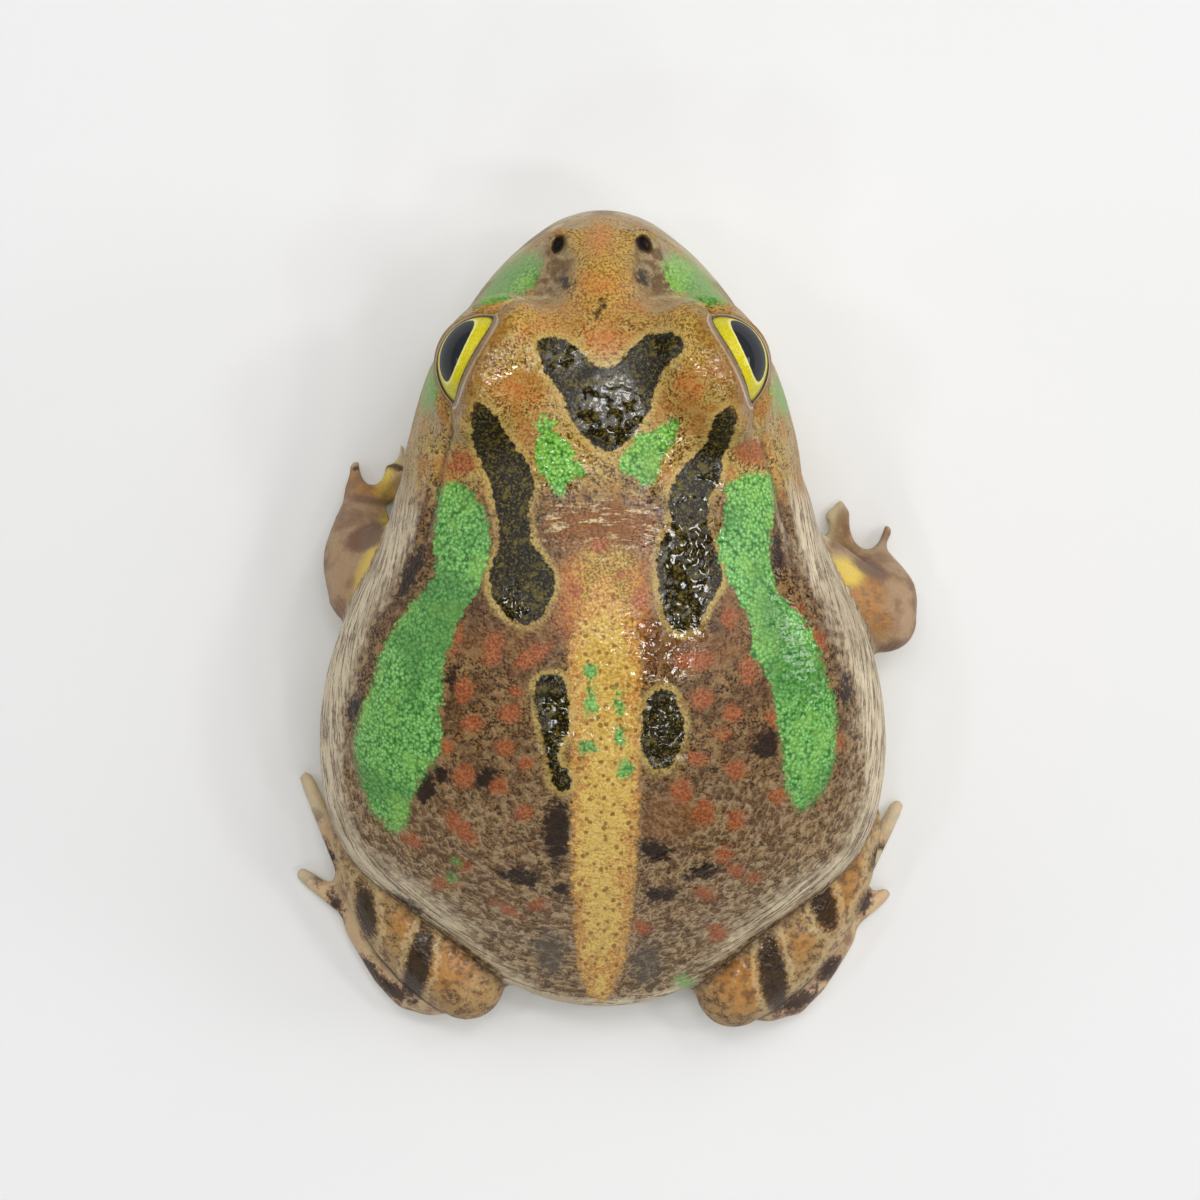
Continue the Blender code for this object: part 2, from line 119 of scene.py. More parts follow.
# What counts as far off, in millimetres, or in the photo's pixels for a mark in it
FAR = 40.0

# The cast of the photo's light on the skin, and the yellower green of the crown
WARMTH = (1.0, 0.99, 0.84)
CROWN_TINT = (1.3, 1.12, 0.55)

# Soft lights: name, place in metres, size in metres and brightness
SOFTBOXES = (
    ("front_left", (0.42, -0.42, 0.55), 0.6, 0.78),
    ("front_right", (-0.42, -0.42, 0.55), 0.6, 1.42),
    ("rear_right", (-0.42, 0.42, 0.55), 0.6, 0.24),
    ("overhead", (-0.04, -0.14, 0.94), 0.42, 3.6),
    ("side_right", (-0.85, -0.06, 0.36), 0.26, 5.4),
    ("side_left", (0.85, -0.06, 0.36), 0.22, 2.6),
    ("spark_middle", (0.00, -0.03, 0.90), 0.07, 20.0),
    ("spark_front", (-0.06, -0.20, 0.88), 0.07, 20.0),
    ("spark_right", (-0.52, -0.08, 0.80), 0.09, 28.0),
    ("spark_left", (0.40, -0.01, 0.82), 0.07, 28.0),
    ("spark_front_left", (0.22, -0.30, 0.86), 0.06, 26.0),
    ("spark_front_right", (-0.30, -0.36, 0.84), 0.06, 26.0),
    ("spark_near_right", (-0.22, 0.24, 0.85), 0.07, 26.0),
    ("spark_far_right", (-0.38, 0.24, 0.80), 0.07, 26.0),
    ("spark_rear_left", (0.19, 0.52, 0.78), 0.07, 26.0),
    ("spark_rear_right", (-0.26, 0.72, 0.78), 0.07, 26.0),
    ("spark_rear", (0.05, 0.80, 0.78), 0.05, 26.0),
)

# Markings as outlines in the photo's pixels
HEART = (
    (536, 347), (541, 340), (552, 337), (566, 341), (578, 348), (586, 356), (594, 364), (606, 369),
    (619, 362), (631, 349), (640, 340), (652, 334), (668, 333), (679, 336), (684, 346), (676, 357),
    (665, 368), (657, 384), (653, 398), (648, 412), (638, 428), (628, 440), (617, 449), (604, 452),
    (592, 444), (580, 432), (570, 418), (565, 404), (562, 394), (553, 383), (544, 370), (539, 358),
)
SHOULDER_BAND_L = (
    (475, 402), (489, 409), (500, 423), (507, 434), (514, 443), (522, 456), (530, 469), (535, 486),
    (531, 497), (528, 507), (530, 529), (534, 546), (544, 560), (552, 570), (555, 582), (552, 594),
    (545, 611), (536, 622), (525, 625), (512, 620), (500, 609), (492, 595), (489, 582), (490, 570),
    (497, 555), (500, 540), (499, 522), (495, 507), (489, 482), (481, 462), (474, 446), (471, 424),
)
SHOULDER_BAND_R = (
    (730, 405), (722, 412), (714, 420), (707, 441), (693, 457), (681, 470), (672, 486), (668, 500),
    (671, 514), (670, 527), (661, 543), (656, 558), (657, 573), (658, 588), (664, 613), (670, 625),
    (680, 633), (692, 631), (699, 625), (705, 611), (716, 594), (722, 582), (720, 558), (714, 544),
    (709, 531), (707, 517), (710, 500), (720, 478), (722, 466), (726, 450), (733, 434), (738, 416),
)
BACK_BLOTCH_L = (
    (534, 690), (538, 680), (548, 675), (560, 676), (566, 686), (570, 706), (569, 722), (567, 735),
    (560, 745), (558, 758), (566, 770), (572, 780), (569, 790), (560, 790), (552, 782), (549, 768),
    (546, 750), (542, 733), (538, 714),
)
BACK_BLOTCH_R = (
    (648, 700), (655, 692), (666, 689), (674, 694), (680, 708), (684, 724), (682, 742), (676, 758),
    (666, 769), (654, 768), (645, 757), (641, 742), (644, 728), (641, 716),
)
DARK_MARKS = (HEART, SHOULDER_BAND_L, SHOULDER_BAND_R, BACK_BLOTCH_L, BACK_BLOTCH_R)
LORES = (
    ((537, 262), (545, 246), (556, 236), (568, 238), (574, 252), (573, 268), (566, 284),
     (555, 296), (538, 297), (530, 280)),
    ((634, 252), (640, 238), (652, 236), (664, 246), (672, 262), (678, 280), (672, 296),
     (655, 296), (640, 284), (635, 268)),
)

GREEN_BAND_L = (
    (437, 513), (436, 498), (444, 485), (455, 482), (468, 488), (480, 502), (488, 520), (490, 545),
    (485, 574), (476, 592), (468, 602), (458, 622), (453, 640), (444, 662), (442, 690), (440, 721),
    (442, 742), (436, 760), (424, 774), (414, 792), (409, 812), (404, 828), (396, 832), (383, 824),
    (370, 806), (363, 788), (356, 760), (354, 740), (362, 709), (370, 690), (376, 668), (385, 645),
    (394, 630), (405, 612), (420, 594), (433, 580), (436, 560), (433, 540),
)
GREEN_BAND_R = (
    (725, 512), (724, 498), (730, 483), (742, 475), (758, 472), (770, 476), (775, 494), (773, 516),
    (770, 543), (771, 566), (777, 588), (790, 606), (801, 617), (811, 632), (820, 652), (828, 680),
    (836, 710), (835, 740), (833, 765), (826, 786), (815, 800), (804, 809), (794, 806), (788, 790),
    (783, 765), (780, 735), (776, 712), (772, 690), (764, 668), (752, 655), (754, 636), (746, 612),
    (733, 590), (724, 570), (718, 548), (721, 530),
)
CROWN_GREEN_L = (
    (540, 434), (548, 430), (560, 436), (572, 446), (576, 460), (588, 470), (578, 478), (566, 484),
    (563, 498), (554, 492), (548, 480), (538, 470), (535, 455),
)
CROWN_GREEN_R = (
    (618, 463), (630, 446), (640, 434), (655, 428), (672, 418), (678, 428), (672, 444), (662, 462),
    (656, 478), (648, 488), (636, 478), (626, 474),
)
CHEEK_GREENS = (
    ((478, 305), (484, 289), (496, 273), (512, 260), (530, 252), (541, 258), (539, 273),
     (533, 287), (512, 296), (494, 303)),
    ((664, 262), (672, 254), (690, 260), (706, 274), (718, 288), (727, 304), (710, 305),
     (694, 300), (676, 292), (666, 280)),
    ((424, 378), (436, 366), (440, 385), (436, 402), (424, 412)),
    ((774, 378), (786, 384), (796, 404), (784, 414), (773, 400)),
)
GREEN_MARKS = (GREEN_BAND_L, GREEN_BAND_R, CROWN_GREEN_L, CROWN_GREEN_R, *CHEEK_GREENS)

# Spots: middle across and down, half sizes across and down, and a turn in degrees
GREEN_DOTS = (
    (590, 672, 7, 8), (590, 703, 7, 13), (620, 703, 5, 12), (586, 747, 11, 6), (620, 735, 6, 10),
    (625, 770, 8, 10), (685, 984, 9, 6, 30), (456, 862, 3, 3), (452, 879, 5, 4), (544, 420, 4, 4),
    (546, 426, 10, 6),
)
RUST_SPOTS = (
    (493, 650, 8, 15, 5), (533, 656, 21, 8, -35), (464, 690, 9, 12), (472, 724, 10, 9),
    (510, 713, 10, 10), (516, 692, 6, 5), (505, 747, 9, 8), (526, 763, 7, 7), (464, 776, 10, 11),
    (445, 747, 9, 7), (499, 786, 9, 8), (524, 813, 8, 7), (461, 828, 20, 8, 45),
    (411, 839, 11, 5, 35), (445, 883, 14, 6), (507, 910, 11, 4, 30), (464, 866, 8, 4, 20),
    (539, 904, 8, 5), (694, 661, 19, 8), (729, 617, 7, 9), (702, 698, 11, 10), (732, 713, 9, 8),
    (748, 671, 8, 13), (774, 717, 8, 8), (698, 759, 8, 7), (736, 770, 10, 9), (681, 791, 10, 12),
    (704, 813, 11, 13), (736, 820, 9, 10), (778, 797, 8, 7), (723, 855, 8, 8), (736, 870, 7, 6),
    (753, 878, 7, 5), (706, 893, 9, 6), (717, 933, 9, 8), (797, 614, 6, 8), (817, 640, 8, 11, -30),
    (839, 740, 6, 8), (641, 927, 9, 6), (463, 462, 15, 12), (750, 452, 15, 12),
    (455, 640, 6, 14, 20), (722, 735, 7, 5), (620, 876, 7, 5), (590, 900, 7, 6), (598, 960, 12, 7),
    (621, 840, 6, 6), (583, 800, 5, 5), (600, 545, 9, 6), (622, 574, 6, 5), (575, 590, 6, 8),
    (640, 600, 7, 9),
)
# Brown spots. Those at 557,245 and 642,243 are painted shade in the nostrils, and those at 566,283
# and 642,278 are painted shade in the hollows between snout and cheeks
BROWN_SPOTS_AND_SHADE = (
    (453, 684, 6, 14), (487, 780, 13, 11), (426, 790, 11, 18, 20), (767, 745, 13, 17),
    (655, 851, 17, 11), (404, 906, 25, 8, 28), (520, 876, 20, 9, 20), (700, 872, 16, 7, -20),
    (355, 708, 7, 16, 10), (846, 690, 7, 16), (412, 572, 9, 26, 24), (776, 560, 5, 22),
    (603, 303, 4, 6), (566, 283, 7, 6, 20), (642, 278, 6, 8, -20), (557, 832, 14, 34),
    (392, 640, 5, 8, 20), (441, 775, 8, 9), (560, 888, 9, 6), (660, 895, 15, 8),
    (557, 245, 5, 8, 20), (642, 243, 5, 8, -20), (598, 310, 3, 7, 10),
)
# The nostrils' pits, painted near black as the shade inside them
NOSTRIL_PITS = ((558, 245, 6, 9, 20), (641, 243, 6, 9, -20))
CHESTNUT_SPOTS = ((666, 819, 30, 28), (506, 640, 60, 16), (700, 650, 50, 18), (735, 600, 12, 40))
GREY_SPOTS = ((550, 952, 17, 25), (646, 962, 17, 24))

# The pale stripe down the back, as an outline
STRIPE = (
    (588, 600), (594, 582), (602, 574), (611, 582), (619, 602), (632, 622), (641, 645), (642, 680),
    (640, 720), (640, 800), (636, 860), (633, 900), (627, 950), (619, 975), (612, 993),
    (600, 1003), (589, 993), (581, 975), (576, 950), (574, 900), (571, 860), (572, 800),
    (569, 720), (568, 680), (570, 645), (576, 622),
)

# Orange on the snout and beside the stripe
SNOUT_ORANGE = (
    (600, 238, 17, 22), (600, 285, 24, 14), (604, 338, 24, 18), (540, 325, 22, 9, -20),
    (516, 392, 24, 14, 20), (690, 386, 18, 16), (566, 308, 26, 7), (640, 308, 26, 7),
    (570, 596, 15, 44), (641, 596, 13, 44),
)

# Marks on arms, legs and toes, seen from above
LIMB_BANDS = (
    (366, 910, 9, 27, -8), (418, 966, 12, 40, 12), (336, 905, 5, 12, -30), (372, 972, 16, 7, 50),
    (328, 856, 5, 12, -18), (317, 815, 5, 6, -18), (824, 905, 12, 26, -14), (773, 974, 13, 40, -8),
    (866, 902, 5, 12, 30), (828, 970, 14, 7, -50), (878, 856, 5, 12, 18), (892, 815, 5, 6, 18),
    (366, 537, 22, 12, -26), (871, 569, 20, 7, 28), (366, 500, 18, 4, 10), (848, 612, 10, 8),
    (892, 646, 14, 5, -20), (315, 880, 10, 4, 20), (393, 990, 8, 20, -60), (800, 1000, 8, 20, 60),
)
LIMB_ORANGE = (
    (404, 924, 12, 12), (454, 962, 22, 30, 30), (797, 945, 13, 11), (738, 982, 22, 28, -30),
    (347, 470, 8, 16), (372, 490, 22, 12, -20), (850, 600, 20, 24, 10), (868, 598, 18, 26),
    (880, 620, 12, 16), (845, 868, 16, 22, 30), (840, 900, 14, 26, 30),
)

# Gaps between the fingers, seen from above
FINGER_GAPS = ((373, 462, 13, 25), (388, 450, 12, 15), (866, 520, 17, 30), (861, 498, 18, 18))

LIMB_YELLOW = (
    (369, 563, 7, 32, 22), (844, 572, 20, 14, 14), (390, 520, 8, 24, 14), (388, 470, 8, 24, 20),
)
PALE_FINGERS = ((829, 516, 7, 28, 8), (350, 460, 6, 7), (403, 452, 5, 10), (893, 522, 5, 7))

# Golden skin on the snout and the front of the brows
GOLD = (
    (532, 316, 42, 15, -10), (672, 316, 42, 15, 10), (600, 262, 30, 56), (700, 345, 24, 20),
    (605, 588, 40, 46),
)

# The grooves from the eyes back along the neck
NECK_FOLDS = (
    ((455, 412), (448, 436), (441, 468), (436, 500), (424, 540)),
    ((750, 412), (761, 436), (771, 468), (779, 500), (790, 540)),
)

# Places where a film of water lies on the skin
WET = (
    (606, 408, 36, 38), (576, 360, 16, 14), (650, 350, 12, 12), (690, 560, 30, 110, 8),
    (560, 735, 20, 62), (662, 735, 26, 50), (612, 735, 24, 60), (510, 604, 15, 16),
    (668, 460, 14, 36, 20), (655, 655, 20, 36), (463, 955, 14, 30, -30), (738, 965, 20, 24),
)

# Places where dew clings to the skin's granules
DEW = (
    (498, 372, 46, 54), (716, 370, 46, 56), (652, 524, 26, 26), (800, 650, 26, 80, -16),
    (640, 660, 50, 50), (445, 940, 40, 34), (745, 950, 34, 34), (815, 915, 22, 24),
    (548, 350, 24, 22), (668, 352, 24, 22), (700, 850, 40, 40), (560, 460, 30, 30),
)

# The pale edges at the front of the brows and behind the eyes
BROW_EDGES = (
    ((498, 314), (503, 304), (514, 299), (532, 297), (556, 298)),
    ((707, 314), (702, 304), (691, 299), (674, 297), (650, 298)),
    ((450, 418), (447, 428), (447, 442)),
    ((755, 418), (758, 428), (758, 442)),
)


def paint(red, green, blue):
    """A colour as a paint chart gives it, 0 to 255, in the linear values that shaders use."""
    shares = (red / 255, green / 255, blue / 255)
    return tuple(c / 12.92 if c <= 0.04045 else ((c + 0.055) / 1.055) ** 2.4 for c in shares)


def length(name, description, millimetres):
    return bpy.props.FloatProperty(
        name=name, description=description, default=millimetres * MM, unit="LENGTH"
    )


def tint(name, description, *chart):
    return bpy.props.FloatVectorProperty(
        name=name, description=description, default=paint(*chart), subtype="COLOR"
    )


class FrogSkinSizes(bpy.types.PropertyGroup):
    """How fine the skin is, and how deep its folds are."""

    grain: length("Grain", "Size of the skin mesh's faces", 0.34)
    close_by: length("Closing", "How far the solids swell to meet", 0.22)
    soften_by: length("Softening", "How far the trunk's hollows are filled", 1.2)
    upper_lid: length("Upper lid", "Thickness of the upper lid at its rim", 0.28)
    lower_lid: length("Lower lid", "Thickness of the lower lid at its rim", 0.14)
    fold_depth: length("Neck folds", "Depth of the folds behind the eyes", 0.22)
    wrinkle_depth: length("Wrinkles", "Depth of the wrinkles along the flanks", 0.05)
    lip_groove: length("Lip groove", "Depth of the line between the lips", 0.45)


class FrogColours(bpy.types.PropertyGroup):
    """The skin's main colours."""

    back: tint("Back", "Brown of the back", 132, 97, 58)
    flank: tint("Flank", "Pale grey-brown of the flanks", 226, 210, 190)
    head: tint("Head", "Orange-brown of the head", 190, 156, 88)
    rust: tint("Rust", "Rust red of the spots", 138, 70, 38)
    dark: tint("Dark", "Near black of the bands", 22, 15, 3)
    green: tint("Green", "Green of the bands", 100, 166, 86)
    stripe: tint("Stripe", "Yellow tan of the stripe", 206, 169, 86)
    iris: tint("Iris", "Yellow of the iris", 222, 208, 36)


class FrogStageSettings(bpy.types.PropertyGroup):
    """Floor and light."""

    floor_colour: tint("Floor", "Colour of the floor", 234, 234, 234)
    light_power: bpy.props.FloatProperty(
        name="Light", description="Power of the soft lights", default=3.18, min=0.0, unit="POWER"
    )
    sky: bpy.props.FloatProperty(
        name="Sky", description="Strength of the light all round", default=0.13, min=0.0
    )


class Wire:
    """A shader socket that takes part in sums. Each operator adds one Math node."""

    def __init__(self, bench, socket):
        self.bench = bench
        self.socket = socket

    def math(self, operation, *others):
        return self.bench.node("ShaderNodeMath", {"operation": operation}, self, *others)

    def __add__(self, other):
        return self.math("ADD", other)

    def __sub__(self, other):
        return self.math("SUBTRACT", other)

    def __mul__(self, other):
        return self.math("MULTIPLY", other)

    def __truediv__(self, other):
        return self.math("DIVIDE", other)

    def __pow__(self, other):
        return self.math("POWER", other)

    def __neg__(self):
        return self * -1.0

    def __rsub__(self, other):
        return self.bench.node("ShaderNodeMath", {"operation": "SUBTRACT"}, other, self)

    __radd__ = __add__
    __rmul__ = __mul__


class Bench:
    """A new material and the nodes that are laid out in it."""

    def __init__(self, name):
        self.material = bpy.data.materials.new(name)
        self.material.use_nodes = True
        self.tree = self.material.node_tree
        self.shader = self.tree.nodes["Principled BSDF"]
        self.place = self.node("ShaderNodeTexCoord", {}, output="Object")

    def node(self, kind, settings, *inputs, output=0, **named):
        """Adds a node: its settings, then its sockets in order or by name, as values or wires."""
        made = self.tree.nodes.new(kind)
        for setting, value in settings.items():
            setattr(made, setting, value)
        for key, value in [*enumerate(inputs), *named.items()]:
            self.feed(made.inputs[key], value)
        return Wire(self, made.outputs[output])

    def feed(self, socket, value):
        if isinstance(value, Wire):
            self.tree.links.new(value.socket, socket)
        elif socket.type == "RGBA":
            socket.default_value = (*value, 1.0)
        else:
            socket.default_value = value

    def finish(self, **sockets):
        """Sets the shader's sockets, which are named in lower case here."""
        for name, value in sockets.items():
            title = name.replace("_", " ").title().replace("Ior", "IOR")
            self.feed(self.shader.inputs[title], value)
        return self.material

    def attribute(self, name):
        return self.node("ShaderNodeAttribute", {"attribute_name": name}, output="Fac")

    def ramp(self, value, low, high):
        """0 below low and 1 above high, or the other way round where low is the larger."""
        settings = {"interpolation_type": "SMOOTHSTEP"}
        return self.node("ShaderNodeMapRange", settings, value, low, high)

    def mix(self, share, first, second, blend="MIX"):
        made = self.tree.nodes.new("ShaderNodeMix")
        made.data_type = "RGBA"
        made.blend_type = blend
        made.clamp_factor = True
        for socket, value in ((0, share), (6, first), (7, second)):
            self.feed(made.inputs[socket], value)
        return Wire(self, made.outputs[2])

    def layers(self, under, *rows):
        """Lays colours on one another. Each row ends with a colour, a wire or one from the paint
        chart. Before it stands its share, or else a value, the ends of its ramp and a share."""
        for *mask, over in rows:
            share = self.ramp(*mask[:3]) * mask[3] if len(mask) > 1 else mask[0]
            under, over = (paint(*c) if isinstance(c, tuple) else c for c in (under, over))
            under = self.mix(share, under, over)
        return under

    def noise(self, size, detail=2.0, roughness=0.5, stretch=None, seed=0.0):
        """Noise from 0 to 1 whose lumps have about the given size in millimetres."""
        where = self.place
        if stretch or seed:
            shift = (seed * 0.013, seed * 0.029, seed * 0.017)
            where = self.node(
                "ShaderNodeMapping", {}, where, Scale=stretch or (1.0, 1.0, 1.0), Location=shift
            )
        return self.node(
            "ShaderNodeTexNoise",
            {},
            Vector=where,
            Scale=1.0 / (size * MM),
            Detail=detail,
            Roughness=roughness,
        )

    def cells(self, where, scale, **settings):
        """Distance in a pattern of cells."""
        return self.node(
            "ShaderNodeTexVoronoi", settings, Vector=where, Scale=scale, output="Distance"
        )

    def bump(self, height, distance, strength, under=None):
        """A bump of the given height in millimetres, on top of another."""
        wires = {"Height": height, "Distance": distance * MM, "Strength": strength}
        if under is not None:
            wires["Normal"] = under
        return self.node("ShaderNodeBump", {}, **wires)


# Shapes of the skin


def only(*pieces):
    """Selects some pieces alone, and makes the last of them active."""
    bpy.ops.object.select_all(action="DESELECT")
    for piece in pieces:
        piece.select_set(True)
        bpy.context.view_layer.objects.active = piece


def added():
    """The piece that the last operator made or changed."""
    return bpy.context.view_layer.objects.active


def modified(piece, kind, **settings):
    """Applies a modifier to a piece."""
    only(piece)
    modifier = piece.modifiers.new(kind.title(), kind)
    for setting, value in settings.items():
        setattr(modifier, setting, value)
    bpy.ops.object.modifier_apply(modifier=modifier.name)


def numbers_of(rows, kind, width, dtype=float):
    values = np.empty(len(rows) * width, dtype=dtype)
    rows.foreach_get(kind, values)
    return values.reshape(-1, width)


def points_of(piece):
    """The vertices of a piece as rows in millimetres."""
    return numbers_of(piece.data.vertices, "co", 3) / MM


def edges_of(piece):
    return numbers_of(piece.data.edges, "vertices", 2, np.int64)


def normals_of(piece):
    return numbers_of(piece.data.vertex_normals, "vector", 3)


def put_points(piece, points):
    piece.data.vertices.foreach_set("co", (points * MM).ravel())
    piece.data.update()


def averaged(values, edges, passes, share=0.5):
    """Values on the vertices, spread to their neighbours a number of times."""
    values = values.astype(float).copy()
    column = (-1,) + (1,) * (values.ndim - 1)
    count = np.maximum(np.bincount(edges.ravel(), minlength=len(values)), 1).reshape(column)
    share = np.asarray(share, dtype=float).reshape(column)
    for _ in range(passes):
        total = np.zeros_like(values)
        np.add.at(total, edges[:, 0], values[edges[:, 1]])
        np.add.at(total, edges[:, 1], values[edges[:, 0]])
        values += share * (total / count - values)
    return values


def step(values, low, high):
    """0 below low, 1 above high and smooth between, as in the shaders."""
    t = np.clip((values - low) / (high - low), 0.0, 1.0)
    return t * t * (3.0 - 2.0 * t)


def hump(values, middle, width, power=2):
    """1 at the middle, and soon 0 past the width on both sides."""
    return np.exp(-(((values - middle) / width) ** power))


def seen_at(points):
    """Where the photo's camera sees each point, in its pixels, and pixels to the millimetre."""
    scale = FOCUS / (CAMERA_HEIGHT - points[:, 2])
    across = PHOTO_SIZE / 2 - (points[:, 0] - CAMERA_PLACE[0]) * scale
    down = PHOTO_SIZE / 2 + (points[:, 1] - CAMERA_PLACE[1]) * scale
    return np.stack([across, down], axis=1), scale


def rounded(outline, steps=2):
    """A closed outline with its corners rounded, as a smooth curve through its points."""
    points = np.array(outline, dtype=float)
    before, after, beyond = (np.roll(points, shift, axis=0) for shift in (1, -1, -2))
    found = []
    for k in range(steps):
        t = k / steps
        found.append(
            0.5
            * (
                2 * points
                + (after - before) * t
                + (2 * before - 5 * points + 4 * after - beyond) * t * t
                + (3 * points - before - 3 * after + beyond) * t**3
            )
        )
    return np.stack(found, axis=1).reshape(-1, 2)


def run_distance(where, start, end):
    """Distance of each place to a straight run."""
    run, rise = end[0] - start[0], end[1] - start[1]
    dx, dy = where[:, 0] - start[0], where[:, 1] - start[1]
    t = np.clip((dx * run + dy * rise) / max(run * run + rise * rise, 1e-9), 0.0, 1.0)
    return np.hypot(dx - t * run, dy - t * rise)


def path_distance(where, path):
    """Distance of each place to an open path."""
    return np.min([run_distance(where, *ends) for ends in zip(path, path[1:])], axis=0)


def outline_distance(where, outline):
    """Signed distance of each place to a closed outline, below 0 inside."""
    curve = rounded(outline)
    nearest = np.full(len(where), np.inf)
    inside = np.zeros(len(where), dtype=bool)
    for start, end in zip(curve, np.roll(curve, -1, axis=0)):
        nearest = np.minimum(nearest, run_distance(where, start, end))
        run, rise = end - start
        crosses = (start[1] > where[:, 1]) != (end[1] > where[:, 1])
        reach = start[0] + (where[:, 1] - start[1]) * run / (rise or 1.0)
        inside ^= crosses & (where[:, 0] < reach)
    return np.where(inside, -nearest, nearest)


def spot_distance(where, spot):
    """Signed distance, near enough, of each place to an oval spot."""
    x, y, half_x, half_y, turn = (*spot, 0)[:5]
    cos, sin = math.cos(math.radians(turn)), math.sin(math.radians(turn))
    dx, dy = where[:, 0] - x, where[:, 1] - y
    across, down = dx * cos + dy * sin, dy * cos - dx * sin
    share = np.hypot(across / half_x, down / half_y)
    return (share - 1.0) * min(half_x, half_y)


def marks_distance(where, scale, marks, measure=outline_distance):
    """Distance in millimetres to the nearest of some marks, below 0 inside one."""
    nearest = np.full(len(where), FAR)
    for mark in marks:
        if np.ndim(mark) == 1:
            way, corners, reach = spot_distance, [mark[:2]], FAR + max(mark[2:4])
        else:
            way, corners, reach = measure, mark, FAR
        low, high = np.min(corners, axis=0) - reach, np.max(corners, axis=0) + reach
        near = np.all((where > low) & (where < high), axis=1)
        nearest[near] = np.minimum(nearest[near], way(where[near], mark))
    return nearest / scale


def copies(names):
    """Copies of some solids as one object whose loose seams are welded."""
    pieces = []
    for name in names:
        made = bpy.data.objects.new("copy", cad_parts[name].data.copy())
        bpy.context.scene.collection.objects.link(made)
        pieces.append(made)
    only(*pieces)
    bpy.ops.object.join()
    made = added()
    made.data.materials.clear()
    bpy.ops.object.mode_set(mode="EDIT")
    bpy.ops.mesh.select_all(action="SELECT")
    bpy.ops.mesh.remove_doubles(threshold=0.002 * MM)
    bpy.ops.object.mode_set(mode="OBJECT")
    return made


def closed_over(piece, reach):
    """Swells a piece until gaps under twice the reach are filled, and lets it shrink back."""
    modified(piece, "DISPLACE", mid_level=0.0, strength=reach)
    modified(piece, "REMESH", mode="VOXEL", voxel_size=bpy.context.scene.frog_skin.grain)
    largest_shell(piece)
    modified(piece, "DISPLACE", mid_level=0.0, strength=-reach)


def part_fingers(limbs):
    """Opens the gaps between the fingers, which the solids leave webbed."""
    scale = FOCUS / CAMERA_HEIGHT / MM
    for across, down, half_across, half_down in FINGER_GAPS:
        x = CAMERA_PLACE[0] * MM + (PHOTO_SIZE / 2 - across) / scale
        y = CAMERA_PLACE[1] * MM + (down - PHOTO_SIZE / 2) / scale
        size = (half_across / scale, half_down / scale, 1.0)
        bpy.ops.object.select_all(action="DESELECT")
        bpy.ops.mesh.primitive_cylinder_add(
            vertices=40, radius=1.0, depth=12.0 * MM, location=(x, y, 0.0), scale=size
        )
        gap = added()
        modified(limbs, "BOOLEAN", operation="DIFFERENCE", object=gap, solver="EXACT")
        bpy.data.objects.remove(gap)


def joined_flesh():
    """A copy of every flesh solid as one closed skin, with soft hollows on the trunk."""
    sizes = bpy.context.scene.frog_skin
    skin = copies([*TRUNK, "eye_l", "eye_r"])
    closed_over(skin, sizes.soften_by)
    limbs = copies(LIMBS)
    part_fingers(limbs)
    only(limbs, skin)
    bpy.ops.object.join()
    skin.name = skin.data.name = "frog_skin"
    closed_over(skin, sizes.close_by)
    return skin


def largest_shell(piece):
    """Keeps the outer skin, without the hollows that the gaps between solids leave inside."""
    shape = bmesh.new()
    shape.from_mesh(piece.data)
    unseen = set(shape.verts)
    groups = []
    while unseen:
        group = [unseen.pop()]
        for vertex in group:
            for edge in vertex.link_edges:
                other = edge.other_vert(vertex)
                if other in unseen:
                    unseen.discard(other)
                    group.append(other)
        groups.append(group)
    kept = set(max(groups, key=len))
    bmesh.ops.delete(shape, geom=[v for v in shape.verts if v not in kept], context="VERTS")
    shape.to_mesh(piece.data)
    shape.free()


def distance_to_nodes(points, names):
    """How far each point lies from the nearest of some solids."""
    corners, faces = [], []
    for name in names:
        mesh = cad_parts[name].data
        start = len(corners)
        corners += [vertex.co / MM for vertex in mesh.vertices]
        faces += [[start + k for k in face.vertices] for face in mesh.polygons]
    tree = BVHTree.FromPolygons(corners, faces)
    return np.array([tree.find_nearest(point)[3] for point in points])


def limb_share(skin):
    """0 on the trunk and 1 on the limbs, smooth where they meet."""
    points = points_of(skin)
    return step(distance_to_nodes(points, TRUNK) - distance_to_nodes(points, LIMBS), -0.3, 0.3)


def box_of(name):
    return [np.array(corner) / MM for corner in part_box(name)]


def eye_facts(letter, side):
    """Middle and radius of an eye, and its own directions: out, along the slit and up."""
    low, high = box_of("eye_" + letter)
    level = math.cos(GAZE_RISE)
    sideways, forward = math.cos(GAZE_FORWARD), math.sin(GAZE_FORWARD)
    out = np.array((side * level * sideways, -level * forward, math.sin(GAZE_RISE)))
    along = np.array((side * forward, sideways, 0.0))
    return (low + high) / 2, (high[2] - low[2]) / 2, out, along, np.cross(out, along) * side


def round_eyes(points):
    """For each eye its middle and radius. Then for each point its distance and direction from
    there, how far inside the slit between the lids it lies, and its angle above the middle."""
    for letter, side in SIDES:
        centre, radius, out, along, up = eye_facts(letter, side)
        away = points - centre
        reach = np.linalg.norm(away, axis=1)
        ways = away / reach[:, None]
        turn = np.arctan2(ways @ along, ways @ out)
        rise = np.arcsin(np.clip(ways @ up, -1.0, 1.0)) - SLIT_TILT * np.sin(turn)
        past_middle = np.abs(turn - SLIT_MIDDLE)
        bow = (1.0 - np.clip(past_middle / SLIT_HALF, 0.0, 1.0) ** 2) ** SLIT_BOW
        depth = np.minimum(SLIT_UPPER * bow - rise, rise + SLIT_LOWER * bow)
        depth = (depth - np.maximum(past_middle - SLIT_HALF, 0.0)) * radius
        yield centre, radius, reach, ways, depth, rise


